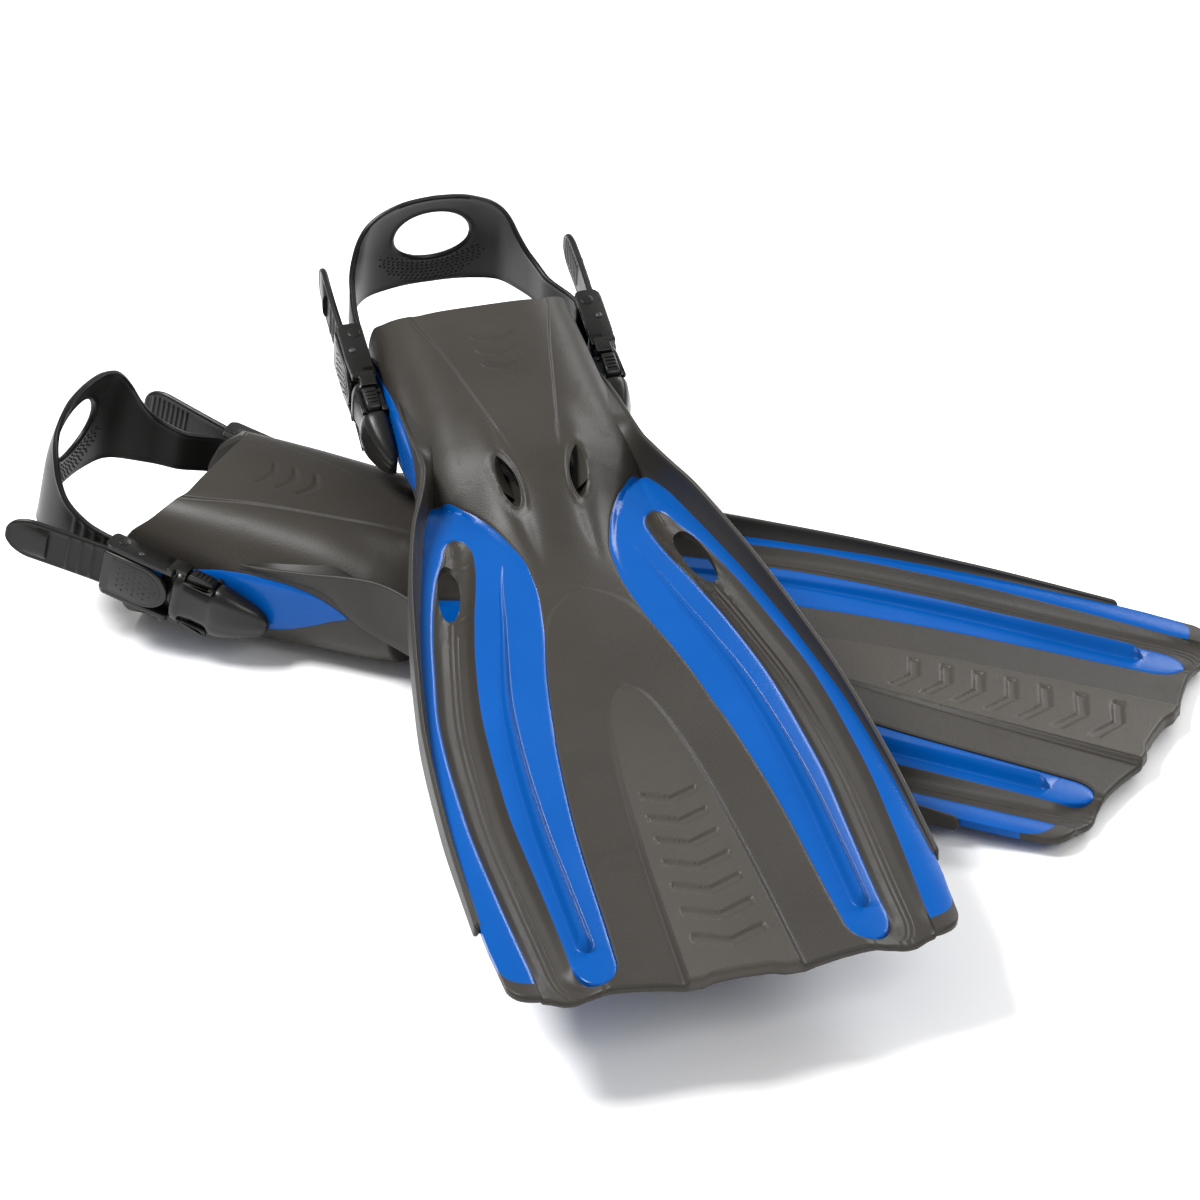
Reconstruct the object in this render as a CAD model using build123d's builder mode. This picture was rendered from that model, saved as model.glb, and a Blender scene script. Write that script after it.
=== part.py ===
from build123d import *
import math
import os

os.makedirs("parts", exist_ok=True)

# Pair of open-heel swim fins, millimetres.
# Fin frame: x lateral, y from heel to tip with y = 0 at the blade's outer corners,
# z up from the blade plane.

# Blade
WEB_BOTTOM = -1.5
WEB_TOP = 1.5
CHANNEL_BOTTOM = -7.6
CHANNEL_FLOOR = -4.8
CORE_TOP = 2.2
CHANNEL_HOLE = (12.0, 41.0)

# Sole plane of the foot pocket, which the fin rests on together with its tip
SOLE_Z = -7.85
SOLE_Y = 20.0
SOLE_SLOPE = 0.085
SOLE_ANGLE = math.atan(SOLE_SLOPE)

# Foot pocket stations: y, top z, top half width, side half width, side z, bottom z
WALL = 4.5
POCKET = [
    (-516, 31.5, 40, 52, -10, -56.5),
    (-480, 31.0, 40, 52.0, -10, -53.0),
    (-440, 30.0, 37, 52.8, -10, -50.0),
    (-400, 27.5, 32, 54.2, -9, -46.5),
    (-366, 24.5, 30, 58, -8, -43.0),
    (-345, 18.5, 26, 54, -8, -33.0),
    (-318, 9.0, 18, 36, -4, -18.0),
    (-292, 3.0, 10, 22, -1, -5.0),
]
CAVITY = [
    (-520, 27.0, 36, 47.5, -10, -46.5),
    (-480, 26.5, 36, 48.3, -10, -44.0),
    (-440, 25.5, 32, 49.4, -9, -41.5),
    (-400, 23.0, 28, 50.4, -8, -38.5),
    (-366, 20.0, 25, 53.5, -8, -35.0),
    (-340, 11.5, 18, 42.0, -8, -22.0),
]

# Side rails: y, centre x, bottom z, top z, half thickness
RAIL = [
    (-400, 55.8, -6.0, 11.0, 2.0),
    (-366, 61.4, -9.0, 13.0, 2.5),
    (-330, 70.0, -12.0, 13.0, 2.6),
    (-280, 82.0, -12.0, 12.5, 2.6),
    (-220, 92.6, -9.5, 10.5, 2.4),
    (-150, 103.0, -6.5, 8.0, 2.2),
    (-100, 107.0, -5.0, 6.5, 2.0),
    (-34, 107.6, -3.5, 5.0, 1.8),
]

# Panel ribs: y, centre x, half width, top z
RIB = [
    (-282, 36.0, 0.8, 2.6),
    (-245, 42.5, 1.4, 3.6),
    (-196, 51.5, 2.0, 5.2),
    (-158, 56.5, 2.4, 6.8),
    (-108, 60.8, 2.8, 8.4),
    (-20, 63.0, 3.4, 10.0),
    (-8, 63.2, 3.0, 2.6),
]

# Buckle frame: origin on the strap bar's rear side, u towards the nose, w upwards
BUCKLE_Y = -509.0
BUCKLE_Z = -3.0
BUCKLE_PITCH = 12.0
LUG_FACE = 54.8
PIVOT_U = 72.0
POST_R = 4.0
POST_HEAD_R = 5.0
RUN = 0.05
BAR_U = 6.0
BAR_X = 61.0
BAR_R = 3.0
LEVER_U = 18.0
LEVER_X = 64.5
LEVER_PIN_R = 1.5
STRAP_T = 2.5
STRAP_HALF = 11.5
PLATE_IN = 12.2
PLATE_OUT = 15.0

# Where the two fins lie: the row frame has +X along the lower fin from heel to tip, +Z up
LOWER_ORIGIN = (267.98, 85.53, 9.53)
LOWER_PLACE = Plane(
    origin=LOWER_ORIGIN,
    x_dir=(0, -1, 0),
    z_dir=(math.sin(SOLE_ANGLE), 0, math.cos(SOLE_ANGLE)),
).location
UPPER_ORIGIN = (201.44, -201.17, 53.81)
UPPER_PLACE = Plane(
    origin=UPPER_ORIGIN,
    x_dir=(-0.77737, -0.62779, 0.03984),
    z_dir=(0.11133, -0.07497, 0.99095),
).location


def section(y, top, wt, ws, zs, bottom):
    """Closed outline of the pocket on the plane at y."""
    plane = Plane(origin=(0, y, 0), x_dir=(1, 0, 0), z_dir=(0, -1, 0))
    right = [
        (0.72 * ws, bottom + 0.6),
        (0.93 * ws, bottom + 0.22 * (zs - bottom)),
        (ws, zs),
        (0.55 * ws + 0.45 * wt, zs + 0.62 * (top - zs)),
        (wt * 0.8, top - 0.06 * (top - zs)),
    ]
    left = [(-x, z) for x, z in reversed(right)]
    with BuildSketch(plane) as outline:
        with BuildLine():
            Spline([(0, bottom)] + right + [(0, top)] + left, periodic=True)
        make_face()
    return outline.sketch


def strip(stations, half_of, low_of, high_of, mirrored):
    """Loft of upright rectangles along the blade."""
    side = -1 if mirrored else 1
    with BuildPart() as body:
        for row in stations:
            y, x = row[0], row[1]
            plane = Plane(origin=(side * x, y, 0), x_dir=(1, 0, 0), z_dir=(0, -1, 0))
            low, high, half = low_of(row), high_of(row), half_of(row)
            with BuildSketch(plane):
                with Locations((0, (low + high) / 2)):
                    Rectangle(2 * half, high - low)
        loft(ruled=True)
    return body.part


def blue_outline():
    """Right-hand blue region of the blade, channel included."""
    with BuildSketch() as face:
        with BuildLine():
            Spline(
                (57, -352), (48, -351), (34, -333), (26, -313), (20, -283),
                (24, -243), (33, -199), (43, -131), (48, -77), (52, 2),
            )
            Spline((52, 2), (55, 12), (63, 16.5))
            Line((63, 16.5), (94, 9.5))
            Line((94, 9.5), (104.6, -1))
            Spline(
                (104.6, -1), (105, -41), (103, -121), (96, -165),
                (89, -213), (82, -252), (69, -298), (57, -352),
            )
        make_face()
    return face.sketch


def channel_outline():
    """Right-hand trough between the panel and the edge strip, open at the tip."""
    with BuildSketch() as face:
        with BuildLine():
            Spline(
                (44, -312), (45, -298), (55, -256), (62, -224), (70, -175),
                (72, -137), (74, -98), (73, -60), (72, 4),
            )
            Spline((72, 4), (70, 12), (63, 16.5))
            Line((63, 16.5), (63, 30))
            Line((63, 30), (94, 30))
            Line((94, 30), (94, 9.5))
            Line((94, 9.5), (89, 0))
            Spline(
                (89, 0), (94, -60), (95, -96), (93, -144), (88, -179),
                (81, -220), (76, -250), (65, -291), (57, -312),
            )
            Spline((57, -312), (50, -321), (44, -312))
        make_face()
    return face.sketch


def trough_outline():
    """Right-hand trough's open inside, within the channel's walls."""
    with BuildSketch() as face:
        with BuildLine():
            Spline(
                (47, -306), (48, -297), (58, -255), (65, -223), (73, -174.5), (75, -137), (77, -98), (76, -60),
                (75, 4),
            )
            Polyline((75, 4), (75, 34), (86, 34), (86, 0))
            Spline(
                (86, 0), (91, -60), (92, -96), (90, -144), (85, -180), (78, -221), (73, -251), (62, -292),
                (54, -309),
            )
            Spline((54, -309), (50, -312.5), (47, -306))
        make_face()
    return face.sketch


def blade_outline():
    """Whole blade in plan, up to the inner faces of the rails."""
    edge = [(104.6, -1), (103, 10), (97, 15), (88, 18), (78, 23), (66, 21), (44, 23), (22, 29), (0, 27)]
    left = [(-x, y) for x, y in reversed(edge[:-1])]
    with BuildSketch() as face:
        with BuildLine():
            Spline(edge + left)
            Spline((-104.6, -1), (-105, -41), (-103, -121), (-96, -165), (-89, -213), (-82, -252), (-69, -298),
                   (-57, -352))
            Line((-57, -352), (57, -352))
            Spline((57, -352), (69, -298), (82, -252), (89, -213), (96, -165), (103, -121), (105, -41), (104.6, -1))
        make_face()
    return face.sketch


def side_pair(sketch):
    return [sketch, sketch.mirror(Plane.YZ)]


def buckle_plane(x, u=0.0, w=0.0, side=1):
    """Plane facing outwards at x, with its first axis along u and its second along w."""
    a = math.radians(BUCKLE_PITCH)
    y = BUCKLE_Y + u * math.cos(a) + w * math.sin(a)
    z = BUCKLE_Z - u * math.sin(a) + w * math.cos(a)
    return Plane(origin=(x, y, z), x_dir=(0, math.cos(a), -math.sin(a)), z_dir=(1, 0, 0))


def strap_plane(w):
    """Plane normal to w, with its first axis along x and its second along u."""
    a = math.radians(BUCKLE_PITCH)
    y = BUCKLE_Y + w * math.sin(a)
    z = BUCKLE_Z + w * math.cos(a)
    return Plane(origin=(0, y, z), x_dir=(1, 0, 0), z_dir=(0, math.sin(a), math.cos(a)))


def rear_plane(u):
    """Plane normal to u, with its first axis along x and its second along w."""
    a = math.radians(BUCKLE_PITCH)
    y = BUCKLE_Y + u * math.cos(a)
    z = BUCKLE_Z - u * math.sin(a)
    return Plane(origin=(0, y, z), x_dir=(1, 0, 0), z_dir=(0, -math.cos(a), math.sin(a)))


def lug():
    """Almond-shaped mounting lug on the right side with its swivel post."""
    post = buckle_plane(LUG_FACE - 2, PIVOT_U)
    head = buckle_plane(LUG_FACE + 7, PIVOT_U)
    with BuildPart() as body:
        with BuildSketch(Plane.XY.offset(-36)):
            Polygon(
                (54.0, -374), (57.6, -374), (55.6, -395), (LUG_FACE, -405), (LUG_FACE, -505), (50.4, -505),
                (51.2, -440), (52.2, -400),
                align=None,
            )
        extrude(amount=46)
        with BuildSketch(Plane.YZ.offset(40)):
            with BuildLine():
                Spline((-377, -6), (-394, 0.8), (-418, 3.8), (-442, 3.7), (-468, 1.5), (-505, -1))
                Line((-505, -1), (-505, -32))
                Spline((-505, -32), (-475, -33), (-445, -30), (-420, -25.5), (-398, -16.5), (-377, -6))
            make_face()
        extrude(amount=30, mode=Mode.INTERSECT)
        with BuildSketch(Plane.XY.offset(-8)):
            Polygon((53.8, -345), (57.0, -345), (56.6, -372), (55.0, -392), (53.0, -392), (54.0, -366), align=None)
        extrude(amount=10)
        with BuildSketch(post):
            Circle(POST_R)
        extrude(amount=9)
        with BuildSketch(head):
            Circle(POST_HEAD_R)
        extrude(amount=2)
    return body.part


def blade_panel():
    """Right-hand blue moulding: ribbed panel, edge strip and side lug."""
    rib = strip(RIB, lambda r: r[2], lambda r: 0.0, lambda r: r[3], False)
    mounting = lug()
    with BuildPart() as panel:
        with BuildSketch(Plane.XY.offset(WEB_BOTTOM)):
            add(blue_outline())
            add(channel_outline(), mode=Mode.SUBTRACT)
        extrude(amount=CORE_TOP - WEB_BOTTOM)
        add(rib)
        add(mounting)
    return panel.part


def fin_body(panel):
    """Grey moulding: foot pocket, blade centre, channels and tip."""
    with BuildPart() as hollow:
        for row in CAVITY:
            add(section(*row))
        loft()
    with BuildPart() as body:
        for row in POCKET:
            add(section(*row))
        loft()
        with BuildSketch(Plane.XY.offset(WEB_BOTTOM)):
            add(blade_outline())
        extrude(amount=WEB_TOP - WEB_BOTTOM)
        with BuildSketch(Plane.XY.offset(CHANNEL_BOTTOM)):
            add(side_pair(channel_outline()))
            add(blade_outline(), mode=Mode.INTERSECT)
        extrude(amount=WEB_TOP - CHANNEL_BOTTOM)
        with BuildSketch(Plane.XY.offset(CHANNEL_FLOOR)):
            add(side_pair(trough_outline()))
        extrude(amount=10, mode=Mode.SUBTRACT)
        for y, half, high in ((-135, 0.6, 0.4), (31, 25.5, 6.5)):
            with BuildSketch(Plane(origin=(0, y, WEB_TOP), x_dir=(1, 0, 0), z_dir=(0, -1, 0))):
                Polygon((-half, -1), (half, -1), (0.8 * half, high), (-0.8 * half, high), align=None)
        loft(ruled=True)
        add(hollow.part, mode=Mode.SUBTRACT)
        with BuildSketch(Plane.YZ.offset(-80)):
            Polygon((-530, 50), (-476, 50), (-478, 29), (-505, 6), (-511, -10), (-511, -62), (-530, -62), align=None)
        extrude(amount=160, mode=Mode.SUBTRACT)
        low = SOLE_Z + SOLE_SLOPE * (-540 - SOLE_Y)
        high = SOLE_Z + SOLE_SLOPE * (-280 - SOLE_Y)
        with BuildSketch(Plane.YZ.offset(-80)):
            Polygon((-540, low), (-280, high), (-280, -90), (-540, -90), align=None)
        extrude(amount=160, mode=Mode.SUBTRACT)
        with BuildSketch(Plane.XY.offset(4)):
            with Locations(Location((17.2, -345, 0), (0, 0, 8)), Location((-17.2, -345, 0), (0, 0, -8))):
                Ellipse(4.6, 9.5)
        extrude(amount=30, mode=Mode.SUBTRACT)
        with BuildSketch(Plane.XY.offset(-20)):
            with Locations(Location((60.2, -271, 0), (0, 0, -14)), Location((-60.2, -271, 0), (0, 0, 14))):
                SlotOverall(CHANNEL_HOLE[1], CHANNEL_HOLE[0], rotation=90)
        extrude(amount=40, mode=Mode.SUBTRACT)
        add([panel, panel.mirror(Plane.YZ)], mode=Mode.SUBTRACT)
    return body.part


def side_rail(panel, body):
    """Right-hand stiff rail along the blade's edge."""
    ridge = strip(RAIL, lambda r: r[4], lambda r: r[2], lambda r: r[3], False)
    edge = [(57, -352), (69, -298), (82, -252), (89, -213), (96, -165), (103, -121), (105, -41), (105, -34)]
    with BuildPart() as rail:
        add(ridge)
        with BuildSketch(Plane.XY.offset(WEB_BOTTOM)):
            Polygon(edge + [(row[1], row[0]) for row in reversed(RAIL)], align=None)
        extrude(amount=WEB_TOP - WEB_BOTTOM)
        add([panel, body], mode=Mode.SUBTRACT)
    return max(rail.part.solids(), key=lambda solid: solid.volume)


def heel_strap():
    """Rubber strap: heel loop, bends round the two bars, and the outer tails."""
    inner = BAR_X - BAR_R - 0.1 - STRAP_T / 2
    outer = BAR_X + BAR_R + 0.1 + STRAP_T / 2
    heel = [(inner, -6), (55, -20), (49.5, -36), (37, -49), (19, -55.5), (0, -57)]
    heel = heel + [(-x, u) for x, u in reversed(heel[:-1])]
    half = STRAP_T / 2
    faces = {}
    for shift in (-half, half):
        line = []
        for i, (x, u) in enumerate(heel):
            before = heel[max(i - 1, 0)]
            after = heel[min(i + 1, len(heel) - 1)]
            run = math.hypot(after[0] - before[0], after[1] - before[1])
            if i in (0, len(heel) - 1):
                line.append((x + shift * math.copysign(1, x), u))
            else:
                line.append((x - shift * (after[1] - before[1]) / run, u + shift * (after[0] - before[0]) / run))
        faces[shift] = line
    with BuildPart() as loop:
        with BuildSketch(strap_plane(-24)):
            with BuildLine():
                Spline(faces[half], tangents=((0, -1), (0, 1)))
                Polyline((-inner - half, -6), (-inner - half, BAR_U), (-inner + half, BAR_U), (-inner + half, -6))
                Spline(faces[-half], tangents=((0, -1), (0, 1)))
                Polyline((inner - half, -6), (inner - half, BAR_U), (inner + half, BAR_U), (inner + half, -6))
            make_face()
        extrude(amount=80)
        with BuildSketch(rear_plane(12)):
            with BuildLine():
                Line((-62, -STRAP_HALF), (-62, STRAP_HALF))
                Line((-62, STRAP_HALF), (-57, STRAP_HALF))
                Spline((-57, STRAP_HALF), (-52, 16), (-43, 33), (-27, 46), (0, 50.5), (27, 46), (43, 33),
                       (52, 16), (57, STRAP_HALF))
                Line((57, STRAP_HALF), (62, STRAP_HALF))
                Line((62, STRAP_HALF), (62, -STRAP_HALF))
                Spline((62, -STRAP_HALF), (30, -14), (0, -15), (-30, -14), (-62, -STRAP_HALF))
            make_face()
            with Locations((0, 21)):
                Ellipse(20, 16.5, mode=Mode.SUBTRACT)
        extrude(amount=75, mode=Mode.INTERSECT)
    with BuildPart() as tail:
        with BuildSketch(strap_plane(-STRAP_HALF)):
            with BuildLine():
                ThreePointArc(
                    (inner - half, BAR_U), (BAR_X, BAR_U + outer + half - BAR_X), (outer + half, BAR_U),
                )
                Polyline(
                    (outer + half, BAR_U), (outer + half + 1.2, -52), (outer - half + 1.2, -52),
                    (outer - half, BAR_U),
                )
                ThreePointArc(
                    (outer - half, BAR_U), (BAR_X, BAR_U + outer - half - BAR_X), (inner + half, BAR_U),
                )
                Polyline((inner + half, BAR_U), (inner + half, BAR_U - 1), (inner - half, BAR_U - 1),
                         (inner - half, BAR_U))
            make_face()
        extrude(amount=2 * STRAP_HALF)
        with BuildSketch(buckle_plane(BAR_X - 10)):
            with BuildLine():
                Polyline((20, STRAP_HALF), (-38, STRAP_HALF))
                ThreePointArc((-38, STRAP_HALF), (-51, 0), (-38, -STRAP_HALF))
                Polyline((-38, -STRAP_HALF), (20, -STRAP_HALF), (20, STRAP_HALF))
            make_face()
        extrude(amount=20, mode=Mode.INTERSECT)
        with BuildSketch(buckle_plane(outer + STRAP_T / 2 - 0.2)):
            with Locations((-12, 0), (-17, 0), (-22, 0)):
                Rectangle(1.6, 18)
        extrude(amount=1.2)
        with BuildSketch(buckle_plane(outer + STRAP_T / 2 - 0.2)):
            with Locations((-35, 0)):
                Rectangle(10, 16)
        extrude(amount=1.8)
    with BuildPart() as strap:
        add(loop.part)
        add(tail.part)
        add(tail.part.mirror(Plane.YZ))
    return strap.part


def receiver():
    """Bullet-shaped half of the quick release that swivels on the lug's post."""
    base = buckle_plane(LUG_FACE + 0.3)
    with BuildPart() as body:
        with BuildSketch(base):
            with BuildLine():
                Polyline((39, 15), (58, 15), (66, 13.6), (84, 8))
                ThreePointArc((84, 8), (89, 0), (84, -8))
                Polyline((84, -8), (66, -13.6), (58, -15), (39, -15), (39, 15))
            make_face()
        extrude(amount=14.2)
        with BuildSketch(strap_plane(-20)):
            Polygon((LUG_FACE + 9, 91), (LUG_FACE + 16, 91), (LUG_FACE + 16, 62), align=None)
        extrude(amount=40, mode=Mode.SUBTRACT)
        with BuildSketch(buckle_plane(LUG_FACE + 2.7)):
            with Locations((50.5, 0)):
                Rectangle(23.4, 22.6)
            with Locations((50.3, 13)):
                Rectangle(23, 8)
            with Locations((50.3, -13)):
                Rectangle(23, 8)
        extrude(amount=8.9, mode=Mode.SUBTRACT)
        with BuildSketch(buckle_plane(LUG_FACE, PIVOT_U)):
            Circle(POST_R + RUN)
        extrude(amount=9.2, mode=Mode.SUBTRACT)
        with BuildSketch(buckle_plane(LUG_FACE + 6.8, PIVOT_U)):
            Circle(POST_HEAD_R + RUN)
        extrude(amount=2.4, mode=Mode.SUBTRACT)
    return body.part


def buckle_frame():
    """Male half: side plates that carry the bar and the lever, cross wall and tongue."""
    with BuildPart() as frame:
        for w in (-PLATE_OUT, PLATE_IN):
            with BuildSketch(strap_plane(w)):
                with BuildLine():
                    Polyline((56, 38), (56, 0), (59, -1), (67, -1), (69, 2), (69, 38), (56, 38))
                make_face()
            extrude(amount=PLATE_OUT - PLATE_IN)
        with BuildSketch(buckle_plane(56)):
            with Locations((34, 0)):
                Rectangle(8, 2 * PLATE_OUT)
        extrude(amount=7)
        with BuildSketch(buckle_plane(LUG_FACE + 3.5)):
            with Locations((49.45, 0)):
                Rectangle(23.1, 12)
        extrude(amount=7)
        with BuildSketch(strap_plane(-20)):
            with Locations((BAR_X, BAR_U)):
                Circle(BAR_R)
            with Locations((LEVER_X, LEVER_U)):
                Circle(LEVER_PIN_R)
        extrude(amount=40, mode=Mode.SUBTRACT)
    return frame.part


def release_tab():
    """Upper squeeze tab beside the tongue, reaching out through the receiver's slot."""
    with BuildPart() as tab:
        with BuildSketch(buckle_plane(LUG_FACE + 3.7)):
            with BuildLine():
                Polyline(
                    (38.4, 8.7), (60, 8.7), (60, 14), (57, 16), (46, 16), (44, 14.5), (44, 10.8), (38.4, 10.8),
                    (38.4, 8.7),
                )
            make_face()
        extrude(amount=6.6)
    return tab.part


def strap_bar():
    with BuildPart() as bar:
        with BuildSketch(strap_plane(-PLATE_OUT)):
            with Locations((BAR_X, BAR_U)):
                Circle(BAR_R)
        extrude(amount=2 * PLATE_OUT)
    return bar.part


def lever_pin():
    with BuildPart() as pin:
        with BuildSketch(strap_plane(-PLATE_OUT)):
            with Locations((LEVER_X, LEVER_U)):
                Circle(LEVER_PIN_R)
        extrude(amount=2 * PLATE_OUT)
    return pin.part


def lever():
    """Dotted thumb plate with its knuckle on the lever pin."""
    with BuildPart() as plate:
        with BuildSketch(buckle_plane(67.3)):
            with BuildLine():
                Polyline((24, 11.8), (0, 11.8), (0, -11.8), (24, -11.8))
                ThreePointArc((24, -11.8), (37.5, 0), (24, 11.8))
            make_face()
        extrude(amount=2.7)
        with BuildSketch(buckle_plane(62.6)):
            with Locations((LEVER_U, 0)):
                Rectangle(5, 22)
        extrude(amount=5)
        with BuildSketch(buckle_plane(70)):
            for u, n in ((10, 3), (14, 4), (18, 5), (22, 4), (26, 3), (30, 2)):
                with Locations((u, 0)):
                    with GridLocations(1, 3.4, 1, n):
                        Circle(0.5)
        extrude(amount=0.4)
        with BuildSketch(strap_plane(-20)):
            with Locations((LEVER_X, LEVER_U)):
                Circle(LEVER_PIN_R + RUN)
        extrude(amount=40, mode=Mode.SUBTRACT)
    return plate.part


def fin_pieces():
    """All pieces of one fin in the fin frame, by name."""
    panel = blade_panel()
    body = fin_body(panel)
    tab = release_tab()
    lower_tab = tab.mirror(strap_plane(0))
    right = {
        "panel": panel,
        "rail": side_rail(panel, body),
        "receiver": receiver(),
        "frame": buckle_frame(),
        "tab_top": tab,
        "tab_bottom": lower_tab,
        "bar": strap_bar(),
        "lever_pin": lever_pin(),
        "lever": lever(),
    }
    pieces = {"body": body, "strap": heel_strap()}
    for name, shape in right.items():
        pieces[name + "_right"] = shape
        pieces[name + "_left"] = shape.mirror(Plane.YZ)
    return pieces


if __name__ == "__main__":
    fin = fin_pieces()
    for prefix, place in (("lower", LOWER_PLACE), ("upper", UPPER_PLACE)):
        for name, shape in fin.items():
            piece = shape.moved(place)
            piece.label = f"{prefix}_{name}"
            export_step(piece, f"parts/{prefix}_{name}.step")
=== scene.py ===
import bmesh
import bpy
import math
import numpy as np
from mathutils import Matrix, Vector
from types import SimpleNamespace


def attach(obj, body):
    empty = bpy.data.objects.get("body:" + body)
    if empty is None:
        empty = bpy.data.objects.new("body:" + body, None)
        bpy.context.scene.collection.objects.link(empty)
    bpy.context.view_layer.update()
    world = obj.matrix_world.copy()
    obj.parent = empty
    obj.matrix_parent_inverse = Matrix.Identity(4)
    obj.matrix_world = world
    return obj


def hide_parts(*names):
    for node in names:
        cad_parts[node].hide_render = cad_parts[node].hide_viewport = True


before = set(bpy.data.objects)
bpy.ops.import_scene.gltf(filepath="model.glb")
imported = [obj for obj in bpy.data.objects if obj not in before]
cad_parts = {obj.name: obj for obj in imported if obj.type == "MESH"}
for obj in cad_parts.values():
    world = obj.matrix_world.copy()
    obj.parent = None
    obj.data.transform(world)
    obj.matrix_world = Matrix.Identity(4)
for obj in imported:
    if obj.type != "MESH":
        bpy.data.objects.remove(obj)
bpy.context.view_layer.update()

# ---------------------------------------------------------------- places
# Shapes are drawn in millimetres in the fin frame: x sideways, y from heel to tip, z up from the blade.
# Both fins have the same shape, and to_row puts it in its place as metres of the shared frame.
MM = 0.001
SOLE_SLOPE = 0.085
SOLE_Y, SOLE_Z = 20, -7.85
LOWER_ORIGIN = np.array([267.98, 85.53, 9.53])
UPPER_ORIGIN = np.array([201.44, -201.17, 53.81])
UPPER_UP = np.array([0.11133, -0.07497, 0.99095])
UPPER_SIDE = np.array([-0.77737, -0.62779, 0.03984])

# Buckle frame: x sideways, u towards the tip and w upwards, pitched against the fin.
PITCH = math.radians(12)
BUCKLE_Y, BUCKLE_Z = -509, -3
BUCKLE_SHIFT = 4  # buckle pieces are drawn this much further out than they sit
FRAME_BAR, LEVER_PIN = (65, 6), (68.5, 18)  # their places in (x, u)


def lower_axes():
    """Axes of the lower fin: heel to tip along +x, tilted until its sole lies flat."""
    tilt = math.atan(SOLE_SLOPE)
    c, s = math.cos(tilt), math.sin(tilt)
    return np.array([[0, c, s], [-1, 0, 0], [0, -s, c]])


def upper_axes():
    """Axes of the upper fin, made square from its upward and sideways directions."""
    up = UPPER_UP / np.linalg.norm(UPPER_UP)
    side = UPPER_SIDE - up * (UPPER_SIDE @ up)
    side /= np.linalg.norm(side)
    return np.stack([side, np.cross(up, side), up], 1)


PLACES = {"lower": (lower_axes(), LOWER_ORIGIN), "upper": (upper_axes(), UPPER_ORIGIN)}


def to_row(fin, p):
    """Points of the fin frame as metres of the shared frame."""
    axes, origin = PLACES[fin]
    return (np.asarray(p, float) @ axes.T + origin) * MM


def from_buckle(p):
    """Points (x, u, w) of the buckle frame as points of the fin frame."""
    x, u, w = np.moveaxis(np.asarray(p, float), -1, 0)
    c, s = math.cos(PITCH), math.sin(PITCH)
    return np.stack([x, BUCKLE_Y + u * c + w * s, BUCKLE_Z - u * s + w * c], -1)


# ---------------------------------------------------------------- curves
def curve(points):
    """Monotone cubic through (position, value) points, flat beyond its ends."""
    xs, ys = np.array(points, float).T
    h = np.diff(xs)
    d = np.diff(ys) / h
    m = np.zeros(len(xs))
    for i in range(1, len(xs) - 1):
        if d[i - 1] * d[i] > 0:
            before, after = 2 * h[i] + h[i - 1], h[i] + 2 * h[i - 1]
            m[i] = (before + after) / (before / d[i - 1] + after / d[i])
    m[0], m[-1] = d[0], d[-1]

    def value(x):
        x = np.clip(np.asarray(x, float), xs[0], xs[-1])
        i = np.clip(np.searchsorted(xs, x) - 1, 0, len(h) - 1)
        t = (x - xs[i]) / h[i]
        return (
            ys[i] * (1 + 2 * t) * (1 - t) ** 2
            + h[i] * m[i] * t * (1 - t) ** 2
            + ys[i + 1] * t * t * (3 - 2 * t)
            + h[i] * m[i + 1] * t * t * (t - 1)
        )

    return value


def clip01(x):
    return np.clip(x, 0, 1)


def step(a, b, x):
    """Smooth rise from 0 at a to 1 at b."""
    t = clip01((np.asarray(x, float) - a) / (b - a))
    return t * t * (3 - 2 * t)


def between(rise, fall, x):
    """Smooth rise over the first interval and smooth fall over the second."""
    return step(*rise, x) * (1 - step(*fall, x))


def blend(a, b, k):
    return a * (1 - k) + b * k


def bell(x, width):
    return np.exp(-((x / width) ** 2))


def ridge(x, width):
    """Like bell, with a flatter top and steeper sides."""
    return np.exp(-((x / width) ** 4))


def arc(t):
    """Quarter circle: 1 at t = 0, falling to 0 at t = 1."""
    return np.sqrt(clip01(1 - t ** 2))


def spread(n):
    """n steps from 0 to 1, closer together at both ends."""
    t = np.linspace(0, 1, n + 1)
    return 0.35 * t + 0.65 * (0.5 - 0.5 * np.cos(np.pi * t))


def columns(counts):
    """Band number and place within its band for every column of points."""
    band = np.repeat(np.arange(len(counts)), counts)
    part = np.concatenate([spread(n)[:-1] for n in counts])
    return np.append(band, len(counts) - 1), np.append(part, 1)


def circle(p, q, radius, count=24):
    """Points round the centre (p, q)."""
    turn = np.linspace(0, 2 * np.pi, count, endpoint=False)
    return np.column_stack([p + radius * np.cos(turn), q + radius * np.sin(turn)])


# ---------------------------------------------------------------- materials
def lin(rgb):
    """8-bit colour as linear values with alpha."""
    values = [v / 255 for v in rgb]
    return [c / 12.92 if c <= 0.04045 else ((c + 0.055) / 1.055) ** 2.4 for c in values] + [1]


def node(tree, kind, inputs, operation=None):
    """New shader node; each input is given a value or linked to another node's output."""
    new = tree.nodes.new("ShaderNode" + kind)
    if operation:
        new.operation = operation
    for key, value in inputs.items():
        if isinstance(value, bpy.types.NodeSocket):
            tree.links.new(value, new.inputs[key])
        else:
            new.inputs[key].default_value = value
    return new


def noise(tree, place, scale, detail, distortion=0):
    values = {"Vector": place, "Scale": scale, "Detail": detail, "Distortion": distortion}
    return node(tree, "TexNoise", values).outputs["Fac"]


def remap(tree, value, source, target):
    """Value taken from one range to another."""
    ranges = {"From Min": source[0], "From Max": source[1], "To Min": target[0], "To Max": target[1]}
    return node(tree, "MapRange", {"Value": value, **ranges}).outputs["Result"]


def maths(tree, operation, a, b):
    return node(tree, "Math", {0: a, 1: b}, operation).outputs["Value"]


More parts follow.
